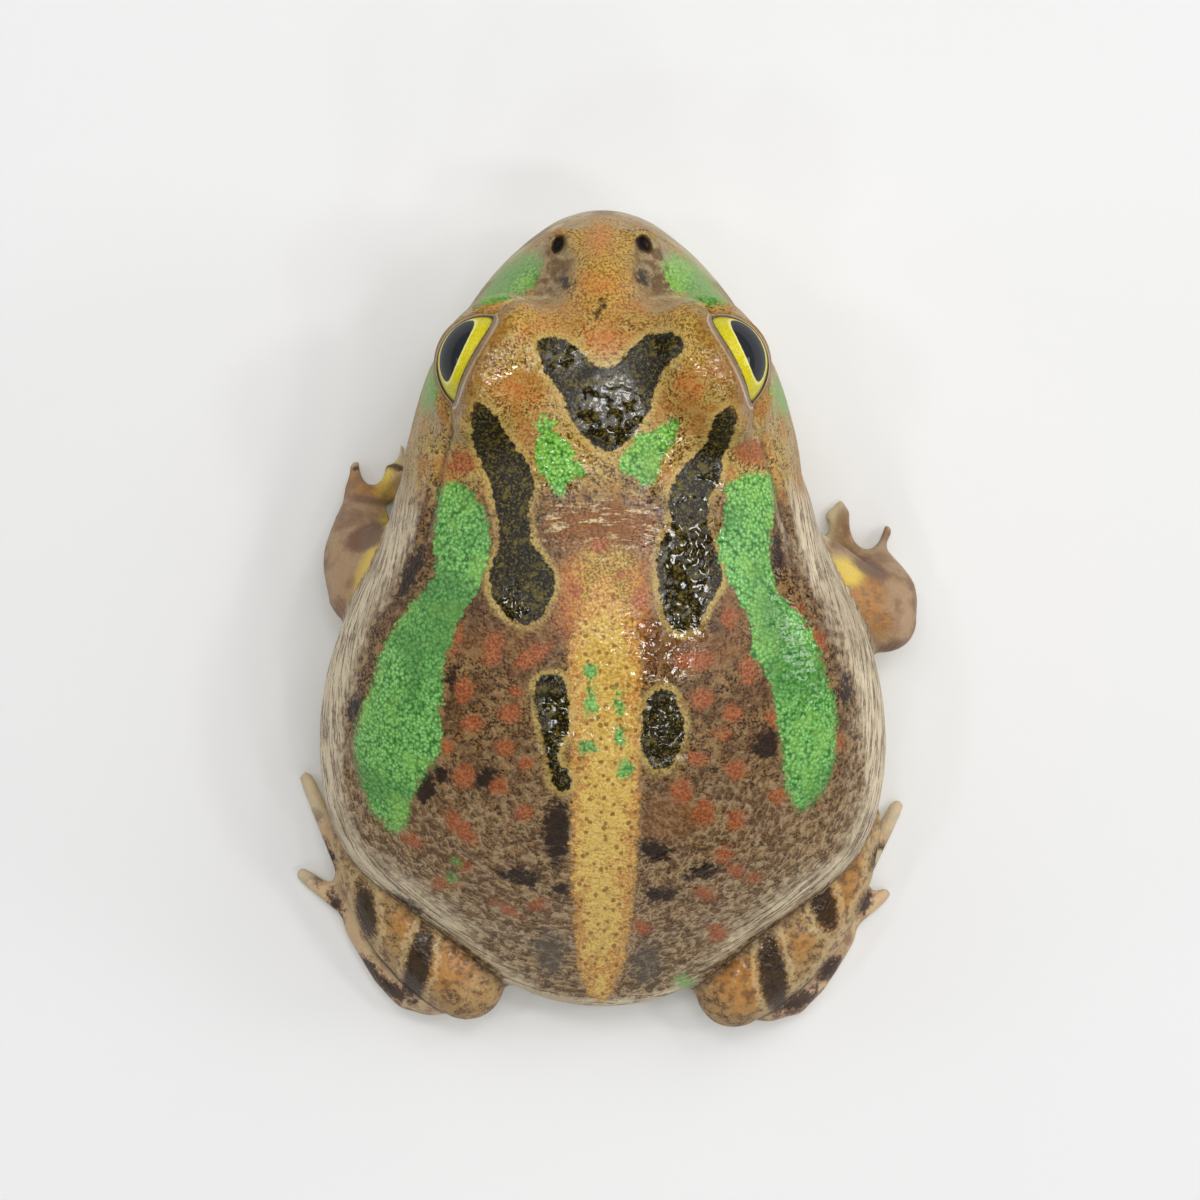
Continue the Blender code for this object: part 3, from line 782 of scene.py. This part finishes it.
def refine(piece, chosen):
    """Splits the chosen faces in four, for forms finer than the skin's grain."""
    shape = bmesh.new()
    shape.from_mesh(piece.data)
    centres = np.array([face.calc_center_median() for face in shape.faces]) / MM
    faces = [face for face, near in zip(shape.faces, chosen(centres)) if near]
    edges = list({edge for face in faces for edge in face.edges})
    bmesh.ops.subdivide_edges(shape, edges=edges, cuts=1, use_grid_fill=True)
    shape.to_mesh(piece.data)
    shape.free()


def near_any(places, reach):
    """Chooses what lies near some places."""
    return lambda points: np.any(
        [np.linalg.norm(points - np.array(place), axis=1) < reach for place in places], axis=0
    )


def near_slits(rim_reach):
    """Chooses what lies near the rims of the slits between the lids."""
    return lambda points: np.any(
        [
            (reach < radius + 2.0) & (np.abs(depth) < rim_reach)
            for _, radius, reach, _, depth, _ in round_eyes(points)
        ],
        axis=0,
    )


def thin_out(skin, chosen):
    """Merges the flattest faces, but not on the back, whose small marks need theirs."""
    group = skin.vertex_groups.new(name="thinned")
    thinned = chosen(points_of(skin)) | (normals_of(skin)[:, 2] < 0.35)
    group.add(np.flatnonzero(thinned).tolist(), 1.0, "REPLACE")
    modified(skin, "DECIMATE", ratio=FACES_KEPT, vertex_group=group.name)
    skin.vertex_groups.clear()


def shape_lids(skin):
    """Lays the lids round each eye, with the slit between them open to the eye. Gives each
    point's distance to the nearest rim."""
    sizes = bpy.context.scene.frog_skin
    points = points_of(skin)
    rims = np.full(len(points), FAR)
    for centre, radius, reach, ways, depth, rise in round_eyes(points):
        above = step(rise, -0.1, 0.1)
        rim = (sizes.lower_lid + (sizes.upper_lid - sizes.lower_lid) * above) / MM
        near = (reach < radius + 4.0) & (depth > -2.4)
        lid = radius + rim * (1.0 + 1.5 * step(-depth, 0.0, 0.9))
        blend = step(-depth, 0.3, 2.3)
        covered = np.maximum(reach, radius + rim) * blend + lid * (1.0 - blend)
        wanted = np.where(depth > 0.0, radius - 0.5 * step(depth, 0.0, 0.25), covered)
        points[near] = centre + ways[near] * wanted[near, None]
        rims = np.minimum(rims, np.where(near, np.abs(depth) * (2.0 - above), FAR))
    put_points(skin, points)
    return rims


def soften_brows(skin):
    """Melts the foot of each brow into the head."""
    points = points_of(skin)
    share = np.zeros(len(points))
    for _, _, reach, _, depth, _ in round_eyes(points):
        near = 1.0 - step(reach, 7.0, 9.5)
        share = np.maximum(share, near * step(-depth, 1.0, 2.4))
    put_points(skin, averaged(points, edges_of(skin), 24, 0.5 * share))


def shape_nostrils(skin):
    """Two small pits on the snout that slant outwards to the rear."""
    points = points_of(skin)
    across, back = NOSTRIL_SLANT
    for (x, y, z), (_, side) in zip(NOSTRILS, SIDES):
        dx, dy = (points[:, 0] - x) * side, points[:, 1] - y
        long_way, cross_way = dx * across + dy * back, dx * back - dy * across
        away = np.hypot(long_way / NOSTRIL_HALF[0], cross_way / NOSTRIL_HALF[1])
        pit = (1.0 - step(away, 0.35, 1.15)) * NOSTRIL_DEPTH
        swelling = hump(away, 0.0, 2.6) * NOSTRIL_SWELLING
        points[:, 2] += np.where(points[:, 2] > z - 3.0, swelling - pit, 0.0)
    put_points(skin, points)


def mouth_height(y):
    """Height of the mouth's line at a distance along the head."""
    return np.interp(y, *np.transpose(MOUTH_LINE))


def shape_mouth(skin):
    """The groove between the lips, under a slightly swollen upper lip."""
    depth = bpy.context.scene.frog_skin.lip_groove / MM
    points, normals = points_of(skin), normals_of(skin)
    height = points[:, 2] - mouth_height(points[:, 1])
    along = 1.0 - step(points[:, 1], -13.4, -11.8)
    lips = hump(height, 0.8, 0.55) * UPPER_LIP + hump(height, -0.9, 0.6) * LOWER_LIP
    points += normals * ((lips - hump(height, 0.0, 0.28) * depth) * along)[:, None]
    put_points(skin, points)


def shape_folds(skin, limb):
    """Long, broken wrinkles on the flanks, and a fold from each eye along the neck."""
    sizes = bpy.context.scene.frog_skin
    points, normals = points_of(skin), normals_of(skin)
    x, y, z = points.T
    flank = step(np.abs(x), 13.0, 19.0) * (1.0 - step(limb, 0.3, 0.7)) * step(z, 3.0, 8.0)
    broken = np.array([noise.noise(Vector(p) * 0.35) for p in points])
    bent = z + 1.6 * broken + 0.5 * np.sin(y / 2.1 + x)
    waves = np.sin(bent * 2 * math.pi / WRINKLE_SPACING)
    rise = flank * (0.4 + broken) * waves * sizes.wrinkle_depth / MM
    fold = marks_distance(*seen_at(points), NECK_FOLDS, path_distance)
    fold += 4.0 * (1.0 - step(normals[:, 2], 0.0, 0.3))
    rise += (hump(fold, 0.55, 0.35) * 0.5 - hump(fold, 0.0, 0.3)) * sizes.fold_depth / MM
    put_points(skin, points + normals * rise[:, None])


def write_attributes(piece, **attributes):
    """Stores values on a piece's points, each under its name."""
    for name, values in attributes.items():
        layer = piece.data.attributes.new(name, "FLOAT", "POINT")
        layer.data.foreach_set("value", np.ascontiguousarray(values, dtype=np.float32))


def write_markings(skin, limb, lids):
    """Stores how far each point is from each kind of mark, and where the kinds of skin lie."""
    points, normals, edges = points_of(skin), normals_of(skin), edges_of(skin)
    y, z = points[:, 1], points[:, 2]
    where, scale = seen_at(points)
    top = step(averaged(normals[:, 2], edges, 6), -0.15, 0.15)
    body = 1.0 - step(limb, 0.4, 0.6)
    away = (2.0 - 2.0 * top) * 3.0
    on_body = away + (1.0 - body) * 6.0
    on_crown = on_body + 3.0 - 3.0 * step(z, 11.5, 16.5)
    on_limb = away + body * 6.0
    for hidden, kinds in (
        (
            on_body,
            {
                "dark": DARK_MARKS,
                "lores": LORES,
                "green": GREEN_MARKS + GREEN_DOTS,
                "rust": RUST_SPOTS,
                "brown": BROWN_SPOTS_AND_SHADE,
                "chestnut": CHESTNUT_SPOTS,
                "grey": GREY_SPOTS,
                "stripe": (STRIPE,),
                "pits": NOSTRIL_PITS,
            },
        ),
        (on_crown, {"snout": SNOUT_ORANGE, "gold": GOLD}),
        (
            on_limb,
            {
                "bands": LIMB_BANDS,
                "orange": LIMB_ORANGE,
                "yellow": LIMB_YELLOW,
                "pale": PALE_FINGERS,
            },
        ),
        (away, {"wet": WET, "dew": DEW}),
    ):
        for name, marks in kinds.items():
            write_attributes(skin, **{name: marks_distance(where, scale, marks) + hidden})
    feet, legs = (distance_to_nodes(points, names) for names in (FEET, LEGS))
    steep = averaged(normals[:, 2], edges, 14)
    # How deep each point lies in a hollow, for the painted shade there
    hollow = points - averaged(points, edges, 10)
    down, round_body = flow_over(points)
    write_attributes(
        skin,
        brow_edge=marks_distance(where, scale, BROW_EDGES, path_distance) + on_body,
        limb=1.0 - body,
        # Where the limbs meet the body, for a painted shadow along the seam
        seam=(limb - 0.5) * 1.2,
        foot=np.clip(legs - feet, -2.0, 2.0),
        lids=lids,
        flank=1.0 - step(steep, 0.30, 0.78),
        belly=1.0 - step(steep + 0.02 * (z - 6.0), -0.65, -0.05),
        head=(1.0 - step(y, -14.5, -6.5)) * step(z, 12.5, 19.0),
        rear=step(y, 2.0, 18.0),
        down=down,
        round=round_body,
        nape=hump(where[:, 0], 602, 64, 4) * hump(where[:, 1], 524, 26),
        muzzle=1.0 - step(y, -17.5, -12.2),
        lips=np.where(y < -12.0, z - mouth_height(y), 20.0) + 6.0 * (1.0 - body),
        hollow=np.clip(-np.sum(hollow * normals, axis=1), -0.5, 0.5),
        tips=tips_of_digits(points),
    )


def flow_over(points):
    """How far each point lies down from the spine, and how far round the body."""
    x, y, z = points.T
    middle = np.clip(y, *SPINE_ENDS)
    round_end = np.arctan2(y - middle, np.abs(x) + 0.5) * 13.0
    down = np.hypot(x, y - middle) + 30.0 - z
    return down, middle + round_end + 12.0 * x / (np.abs(x) + 3.0)


def tips_of_digits(points):
    """1 at the tips of fingers and toes, and 0 from their middles back."""
    share = np.zeros(len(points))
    x, y, _ = points.T
    for name, root in DIGIT_ROOTS.items():
        low, high = box_of(name)
        inside = np.all((points > low - 0.3) & (points < high + 0.3), axis=1)
        reach = np.linalg.norm(points[:, :2] - np.array(root), axis=1)
        if name in FEET:
            outer = np.abs(x) > abs(root[0]) + 3.5
            far = step(reach, 4.6, 6.6) * outer * (y > root[1] - 6.5)
            far = np.maximum(step(reach, 7.5, 11.0), far) * (y < root[1] + 1.0)
        else:
            far = step(reach, 2.2, 4.2)
        share[inside] = np.maximum(share, far)[inside]
    return share


# Finishes


def skin_material():
    """Wet skin with its markings, from the distances stored on it."""
    colours = bpy.context.scene.frog_colours
    bench = Bench("frog_skin")
    on, ramp, layers = bench.attribute, bench.ramp, bench.layers

    # Grain at five sizes, from specks to clouds, and the ragged edges of the marks
    pepper = bench.noise(0.21, 2.5, 0.7)
    mottle = bench.noise(0.7, 3.0, 0.6, seed=1.0)
    cloud = bench.noise(2.4, 3.0, 0.55, seed=2.0)
    broad = bench.noise(7.0, 2.0, 0.5, seed=7.0)
    granules = bench.cells(bench.place, 1.0 / (0.28 * MM))
    uneven, patchy = mottle - 0.5, cloud - 0.5
    ragged = bench.noise(0.30, 3.0, 0.7, seed=3.0) - 0.5 + uneven * 1.2

    # Streaks that run down from the spine, and the net of pale lines on loose skin
    side, rear, crown, muzzle = on("flank"), on("rear"), on("head"), on("muzzle")
    down, round_body = on("down") + uneven * 0.6, on("round")
    flow = bench.node("ShaderNodeCombineXYZ", {}, down * 2.5, round_body * 0.30, 0.0)
    streaks = bench.node(
        "ShaderNodeTexNoise",
        {"noise_dimensions": "2D"},
        Vector=flow,
        Scale=1.0,
        Detail=3.0,
        Roughness=0.6,
    )
    knotted = (round_body + cloud * 3.0 + mottle * 1.4) * 0.8
    weave = bench.node("ShaderNodeCombineXYZ", {}, (down + mottle * 1.8) * 1.5, knotted, 0.0)
    net = bench.cells(weave, 1.0, voronoi_dimensions="2D", feature="DISTANCE_TO_EDGE")
    loose = ramp(side + rear * 0.6, 0.1, 0.9)
    lines = ramp(net + (pepper - 0.5) * 0.3, 0.24, 0.0) * ramp(mottle, 0.38, 0.54)

    # The ground colours of back, flanks and head
    back = layers(
        (38, 21, 6),
        (pepper, 0.45, 0.56, 1.0, colours.back),
        (mottle, 0.49, 0.60, 0.5, (166, 132, 90)),
        (cloud, 0.47, 0.60, 0.6, (76, 46, 20)),
        (loose * 0.30, (120, 94, 70)),
        (lines * (loose * 0.68 + 0.06), (196, 174, 148)),
    )
    flank = layers(
        colours.flank,
        (streaks, 0.48, 0.60, 1.0, (112, 92, 78)),
        (pepper, 0.46, 0.60, 0.4, (196, 178, 158)),
        (cloud, 0.54, 0.70, 0.45, (98, 74, 56)),
        (broad, 0.50, 0.60, 0.35, (122, 98, 76)),
        (lines * 0.4, (220, 206, 188)),
        (muzzle * 0.5, (190, 172, 148)),
    )
    head = layers(
        (84, 54, 18),
        (pepper, 0.42, 0.56, 1.0, colours.head),
        (mottle, 0.48, 0.62, 0.5, (196, 172, 110)),
        (cloud, 0.46, 0.60, 0.6, (176, 116, 54)),
    )
    golden = layers((124, 92, 32), (pepper, 0.41, 0.57, 1.0, (202, 164, 80)))
    lores = layers((166, 146, 120), (mottle + patchy * 0.8, 0.34, 0.66, 1.0, (84, 64, 46)))
    # Pale grey on the head's steep sides: a painted sheen of the wet film
    rim = ramp(side, 0.50, 0.95) * ramp(streaks, 0.62, 0.44)
    nape = ramp(on("nape") + uneven * 1.2 + patchy * 1.2, 0.1, 1.0)
    creases = bench.noise(1.0, 3.0, 0.65, (0.42, 2.3, 0.42), seed=9.0)
    folded = layers(
        (150, 90, 40),
        (creases, 0.51, 0.58, 1.0, (242, 220, 180)),
        (pepper, 0.54, 0.44, 0.7, (112, 66, 28)),
    )
    rusty = layers(colours.rust, (pepper, 0.44, 0.58, 1.0, (176, 104, 66)))
    colour = layers(
        back,
        (side + uneven * 0.7 + patchy * 0.7, 0.10, 0.75, 1.0, flank),
        (on("chestnut") + patchy * 3.0, 0.8, -0.9, 0.45, (128, 80, 44)),
        (crown + patchy * 0.9 + uneven * 0.5, 0.15, 0.75, 1.0, head),
        (on("gold") + ragged * 1.5, 0.9, -0.9, 0.85, golden),
        (on("snout") + ragged * 1.6 + patchy * 2.0, 0.7, -1.4, 0.52, (204, 112, 60)),
        (on("lores") + ragged, 0.6, -0.5, 0.85, lores),
        # Painted sheen on the head's steep sides
        (rim * crown * 0.55, (190, 174, 154)),
        (nape * 0.75, folded),
        # Brown spots, some of them painted shade in the nostrils and beside the snout
        (on("brown") + ragged * 1.2, 0.25, -0.30, 0.94, (32, 15, 3)),
        (on("grey") + ragged * 1.8, 0.5, -0.8, 0.65, (78, 74, 72)),
        (on("rust") + ragged * 0.9 - 0.08, 0.22, -0.30, 0.85, rusty),
    )

    # The stripe, the dark bands with their pale edges, and the green bands
    stripe = on("stripe") + ragged * 1.1
    pores = bench.cells(bench.place, 1050.0, voronoi_dimensions="2D")
    tan = layers(
        colours.stripe,
        # Paler towards the rear: painted light on the stripe's rear half
        (rear * 0.6, (238, 204, 118)),
        (mottle, 0.46, 0.62, 0.55, (184, 138, 68)),
        (stripe + patchy * 3.0 + uneven * 2.0, -1.4, -0.4, 0.65, (184, 112, 58)),
        (pepper, 0.50, 0.60, 0.6, (232, 208, 138)),
        (pepper, 0.46, 0.38, 0.5, (146, 100, 46)),
        (pores + uneven * 0.5, 0.22, 0.10, 0.75, (120, 76, 32)),
    )
    dark = on("dark") + ragged * 0.6
    pale = ramp(dark, 0.72, 0.22) * (ramp(pepper, 0.36, 0.54) * 0.6 + 0.4)
    pale = pale * (ramp(cloud, 0.38, 0.56) * 0.6 + 0.4)
    olive = layers(
        colours.dark,
        (mottle, 0.52, 0.68, 1.0, (86, 75, 22)),
        (pepper, 0.52, 0.62, 0.5, (130, 116, 44)),
    )
    leaf = layers(
        (150, 212, 130),
        (granules, 0.10, 0.50, 1.0, colours.green),
        (granules, 0.45, 0.85, 0.9, (40, 96, 40)),
        (pepper, 0.56, 0.66, 0.5, (190, 232, 170)),
        (cloud, 0.48, 0.66, 0.4, (140, 188, 88)),
        (broad, 0.54, 0.40, 0.5, (48, 106, 50)),
    )
    leaf = bench.mix(crown * 0.7, leaf, CROWN_TINT, blend="MULTIPLY")
    leaf = layers(leaf, (side * 0.65, (154, 184, 132)))
    soft = side * 0.55 + rear * 0.25 + 0.12
    colour = layers(
        colour,
        (stripe, 0.25, -0.25, 0.95, tan),
        (pale * 0.8, (196, 170, 104)),
        (dark, 0.08, -0.08, 1.0, olive),
        (on("green") + ragged * 1.1, soft, -soft, 1.0, leaf),
    )

    # Arms and legs with their bands, and the digits' pale tips
    leg, foot = ramp(rear, 0.02, 0.25), on("foot")
    arms = layers(
        (174, 145, 120),
        (cloud, 0.42, 0.64, 1.0, (138, 107, 86)),
        (pepper, 0.46, 0.60, 0.25, (138, 106, 84)),
    )
    soles = layers((206, 172, 146), (cloud, 0.44, 0.62, 1.0, (150, 115, 95)))
    legs = layers(
        (170, 136, 94),
        (mottle, 0.40, 0.64, 1.0, (98, 70, 46)),
        (pepper, 0.48, 0.58, 0.45, (190, 158, 116)),
        (foot, -0.2, 0.3, 1.0, soles),
    )
    amber = layers((178, 120, 52), (mottle, 0.42, 0.64, 1.0, (134, 92, 48)))
    banded = layers((116, 87, 74), (leg, (30, 15, 8)))
    rough_edge = ragged * (leg * 0.7 + 0.3)
    bands = on("bands") + rough_edge
    outline = ramp(bands, 0.75, 0.45) * ramp(bands, 0.15, 0.30)
    # A dark line where foot and shank meet: painted shadow between them
    parting_shadow = ramp(foot.math("ABSOLUTE") + uneven * 0.3, 0.34, 0.06)
    limb = layers(
        arms,
        (leg, legs),
        (on("orange") + rough_edge * 1.4, 0.7, -0.7, 0.7, amber),
        (on("yellow") + rough_edge, 0.5, -0.5, 0.85, (228, 200, 98)),
        (bands, 0.24, -0.20, 0.9, banded),
        (outline * leg * 0.5, (208, 186, 148)),
        (parting_shadow * leg * 0.7, (56, 36, 26)),
        (on("pale"), 0.3, -0.4, 0.8, (226, 212, 184)),
        (on("tips") * 0.85, (212, 194, 172)),
    )

    # Lips, belly and lids, and painted shade along the mouth, in the nostrils, in hollows and along
    # the seams where the legs meet the body
    lips, lids, on_limb = on("lips") + uneven * 1.2, on("lids"), on("limb")
    cream = layers((220, 209, 184), (cloud, 0.5, 0.7, 0.5, (176, 158, 132)))
    bars = bench.noise(3.6, 1.0, 0.5, (1.0, 1.0, 0.35), seed=12.0) + uneven * 0.2
    bars = ramp(bars, 0.52, 0.60) * ramp(lips, -0.6, 0.6) * ramp(lips, 6.0, 3.0) * muzzle
    # A dark line where the legs meet the flanks: painted shadow under the flank's edge
    seam = ramp(on("seam").math("ABSOLUTE") + uneven * 0.2, 0.30, 0.05)
    # Darker in the hollows, fainter on the arms: painted shade
    hollow = ramp(on("hollow"), 0.02, 0.16) * (on_limb * (leg - 1.0) * 0.8 + 1.0)
    # Near black in the nostrils: painted shade inside their pits
    pits = ramp(on("pits"), 0.05, -0.20)
    colour = layers(
        colour,
        (on_limb, limb),
        (ramp(lips, -0.2, -2.4) * muzzle * 0.7, cream),
        (on("belly") + uneven * 0.3, 0.1, 0.9, 1.0, cream),
        (bars * 0.6, (116, 84, 54)),
        # A dark line along the mouth: painted shade in the groove between the lips
        (on("lips").math("ABSOLUTE"), 0.34, 0.10, 0.85, (58, 40, 30)),
        (on("brow_edge") + uneven * 0.2, 0.18, 0.04, 0.35, (206, 196, 172)),
        # Deeper brown near the lid rims, partly the brows' own colour and partly painted shade
        (lids + ragged, 2.6, 0.7, 0.6, (130, 88, 42)),
        (lids, 0.64, 0.50, side * 0.5 + 0.3, (208, 198, 184)),
        (lids, 0.46, 0.34, 0.85, (128, 104, 84)),
        (lids, 0.14, 0.04, 0.9, (58, 46, 34)),
        # Painted shadow along the legs' seams, painted shade in the hollows, and near black painted
        # shade in the nostrils
        (seam * rear * 0.8, (52, 36, 26)),
        (hollow * 0.6, (48, 34, 26)),
        (pits * 0.9, (20, 12, 8)),
    )

    # Granules, streaks and creases, with dew and a film of water over them
    wet = ramp(on("wet") + patchy * 4.0 + uneven * 2.0, 1.0, -0.8)
    dew = ramp(on("dew") + patchy * 4.0 + uneven * 2.0, 1.2, -1.0)
    beads = bench.noise(0.75, 1.0, 0.5, (0.8, 1.25, 1.0), seed=11.0)
    film = bench.noise(1.25, 1.0, 0.5, seed=6.0) + bench.noise(0.55, 1.0, 0.5, seed=10.0) * 0.05
    relief = None
    for height, depth, strength in (
        (1.0 - granules, 0.05, (1.0 - wet * 0.94) * (1.0 - dew * 0.86)),
        (streaks, 0.10, loose),
        (creases, 0.20, nape),
        (beads, 0.14, dew * (1.0 - wet)),
        (film, 0.26, wet),
    ):
        relief = bench.bump(height, depth, strength, relief)
    rough = loose * 0.18 + 0.36 - wet * 0.26
    rough = rough - (rough - 0.08) * dew + pits * 0.4
    rough = rough + ramp(dark, 0.08, -0.08) * (1.0 - wet) * 0.2
    warm = bench.mix(1.0, colour, WARMTH, blend="MULTIPLY")
    return bench.finish(base_color=warm, roughness=rough, specular_ior_level=0.4, normal=relief)


def eye_material():
    """Black slit pupil in a yellow iris, under a clear wet front."""
    bench = Bench("frog_eye")
    across, height = (
        (bench.attribute(name) - middle) / half
        for name, middle, half in zip(("slit_along", "slit_up"), PUPIL_PLACE, PUPIL)
    )
    uneven = bench.noise(0.35, 3.0, 0.6) - 0.5
    share = (across * across + height * height) ** 0.5 + uneven * 0.06
    colour = bench.layers(
        (196, 184, 26),
        (bench.noise(0.12, 2.0, 0.6), 0.40, 0.60, 1.0, bpy.context.scene.frog_colours.iris),
        (share, 1.6, 2.1, 0.7, (150, 134, 30)),
        (share, 1.14, 1.04, 0.7, (240, 234, 150)),
        (share, 1.02, 0.98, 1.0, (34, 36, 42)),
    )
    return bench.finish(
        base_color=colour,
        roughness=0.6,
        specular_ior_level=0.1,
        coat_weight=0.5,
        coat_roughness=0.03,
    )


class FROG_OT_skin(bpy.types.Operator):
    """Joins the flesh into one skin, shapes its lids, nostrils, lips and folds, and marks it"""

    bl_idname = "frog.skin"
    bl_label = "Build the skin"

    def execute(self, context):
        skin = joined_flesh()
        digits = 1.0 - 0.4 * step(limb_share(skin), 0.3, 0.9)
        put_points(skin, averaged(points_of(skin), edges_of(skin), 6, 0.5 * digits))
        soften_brows(skin)
        eyes = [eye_facts(*eye)[0] for eye in SIDES]
        refine(skin, near_any(eyes, BROW_REACH))
        for reach in RIM_REACHES:
            refine(skin, near_slits(reach))
        refine(skin, near_any(NOSTRILS, NOSTRIL_REACH))
        shape_mouth(skin)
        shape_nostrils(skin)
        limb = limb_share(skin)
        shape_folds(skin, limb)
        lids = shape_lids(skin)
        write_markings(skin, limb, lids)
        thin_out(skin, near_any(eyes, THINNED_REACH))
        bpy.ops.object.shade_smooth()
        skin.data.materials.append(skin_material())
        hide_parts(*FLESH)
        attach(skin, "root")
        return {"FINISHED"}


class FROG_OT_eyes(bpy.types.Operator):
    """Makes both eyes, each a ball with its pupil and iris set to the frog's gaze"""

    bl_idname = "frog.eyes"
    bl_label = "Build the eyes"

    def execute(self, context):
        finish = eye_material()
        for letter, side in SIDES:
            centre, radius, out, along, up = eye_facts(letter, side)
            bpy.ops.object.select_all(action="DESELECT")
            bpy.ops.mesh.primitive_uv_sphere_add(segments=96, ring_count=64, radius=radius * MM)
            eye = added()
            eye.name = eye.data.name = "frog_eye_" + letter
            turned = points_of(eye)
            places = turned[:, :1] * along + turned[:, 1:2] * up * side + turned[:, 2:] * out
            bulge = 1.0 + CLEAR_FRONT_BULGE * step(turned[:, 2:] / radius, 0.55, 1.0)
            put_points(eye, places * bulge + centre)
            eye.location = (0.0, 0.0, 0.0)
            ways = places / radius
            write_attributes(eye, slit_along=ways @ along, slit_up=ways @ up)
            bpy.ops.object.mode_set(mode="EDIT")
            bpy.ops.mesh.select_all(action="SELECT")
            bpy.ops.mesh.normals_make_consistent(inside=False)
            bpy.ops.object.mode_set(mode="OBJECT")
            bpy.ops.object.shade_smooth()
            eye.data.materials.append(finish)
            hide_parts("eye_" + letter)
            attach(eye, "root")
        return {"FINISHED"}


class FROG_OT_stage(bpy.types.Operator):
    """Sets a plain pale floor, soft studio light and the camera over the frog"""

    bl_idname = "frog.stage"
    bl_label = "Set the stage"

    def execute(self, context):
        self.floor()
        self.lights()
        self.camera()
        return {"FINISHED"}

    def floor(self):
        bpy.ops.object.select_all(action="DESELECT")
        bpy.ops.mesh.primitive_plane_add(size=6.0)
        floor = added()
        floor.name = "floor"
        bench = Bench("floor")
        pale = bpy.context.scene.frog_stage.floor_colour
        colour = bench.layers(pale, (bench.noise(3.0) * 0.06, (226, 226, 226)))
        floor.data.materials.append(bench.finish(base_color=colour, roughness=0.9))

    def lights(self):
        settings = bpy.context.scene.frog_stage
        world = bpy.data.worlds.new("studio")
        world.use_nodes = True
        sky = world.node_tree.nodes["Background"].inputs
        sky["Color"].default_value = (1.0, 1.0, 1.0, 1.0)
        sky["Strength"].default_value = settings.sky
        bpy.context.scene.world = world
        bpy.context.scene.view_settings.view_transform = "Standard"
        for name, place, size, brightness in SOFTBOXES:
            light = bpy.data.lights.new(name, "AREA")
            light.shape = "SQUARE"
            light.size = size
            light.energy = settings.light_power * brightness * size * size
            made = bpy.data.objects.new(name, light)
            made.location = place
            made.rotation_euler = (-Vector(place)).to_track_quat("-Z", "Y").to_euler()
            bpy.context.scene.collection.objects.link(made)

    def camera(self):
        made = bpy.data.objects.new("camera", bpy.data.cameras.new("camera"))
        made.data.sensor_width = 36.0
        made.data.lens = 36.0 * FOCUS / PHOTO_SIZE
        made.data.clip_start = 0.01
        made.location = (CAMERA_PLACE[0] * MM, CAMERA_PLACE[1] * MM, CAMERA_HEIGHT * MM)
        made.rotation_euler = (0.0, 0.0, math.pi)
        bpy.context.scene.collection.objects.link(made)
        bpy.context.scene.camera = made


class FROG_PT_panel(bpy.types.Panel):
    """Shows the frog's sizes, colours and stage settings, and the buttons that build it"""

    bl_idname = "FROG_PT_panel"
    bl_label = "Horned Frog"
    bl_space_type = "VIEW_3D"
    bl_region_type = "UI"
    bl_category = "Frog"

    def draw(self, context):
        for name, _ in GROUPS:
            group = getattr(context.scene, name)
            box = self.layout.box()
            for key in group.bl_rna.properties.keys():
                if key not in ("rna_type", "name"):
                    box.prop(group, key)
        for operator in STEPS:
            self.layout.operator(operator.bl_idname)


GROUPS = (
    ("frog_skin", FrogSkinSizes),
    ("frog_colours", FrogColours),
    ("frog_stage", FrogStageSettings),
)
STEPS = (FROG_OT_skin, FROG_OT_eyes, FROG_OT_stage)


def register():
    for name, group in GROUPS:
        bpy.utils.register_class(group)
        setattr(bpy.types.Scene, name, bpy.props.PointerProperty(type=group))
    for part in (*STEPS, FROG_PT_panel):
        bpy.utils.register_class(part)


def unregister():
    for part in (FROG_PT_panel, *reversed(STEPS)):
        bpy.utils.unregister_class(part)
    for name, group in reversed(GROUPS):
        delattr(bpy.types.Scene, name)
        bpy.utils.unregister_class(group)


def main():
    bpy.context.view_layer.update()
    register()
    bpy.ops.frog.skin()
    bpy.ops.frog.eyes()
    bpy.ops.frog.stage()


if __name__ == "__main__":
    main()
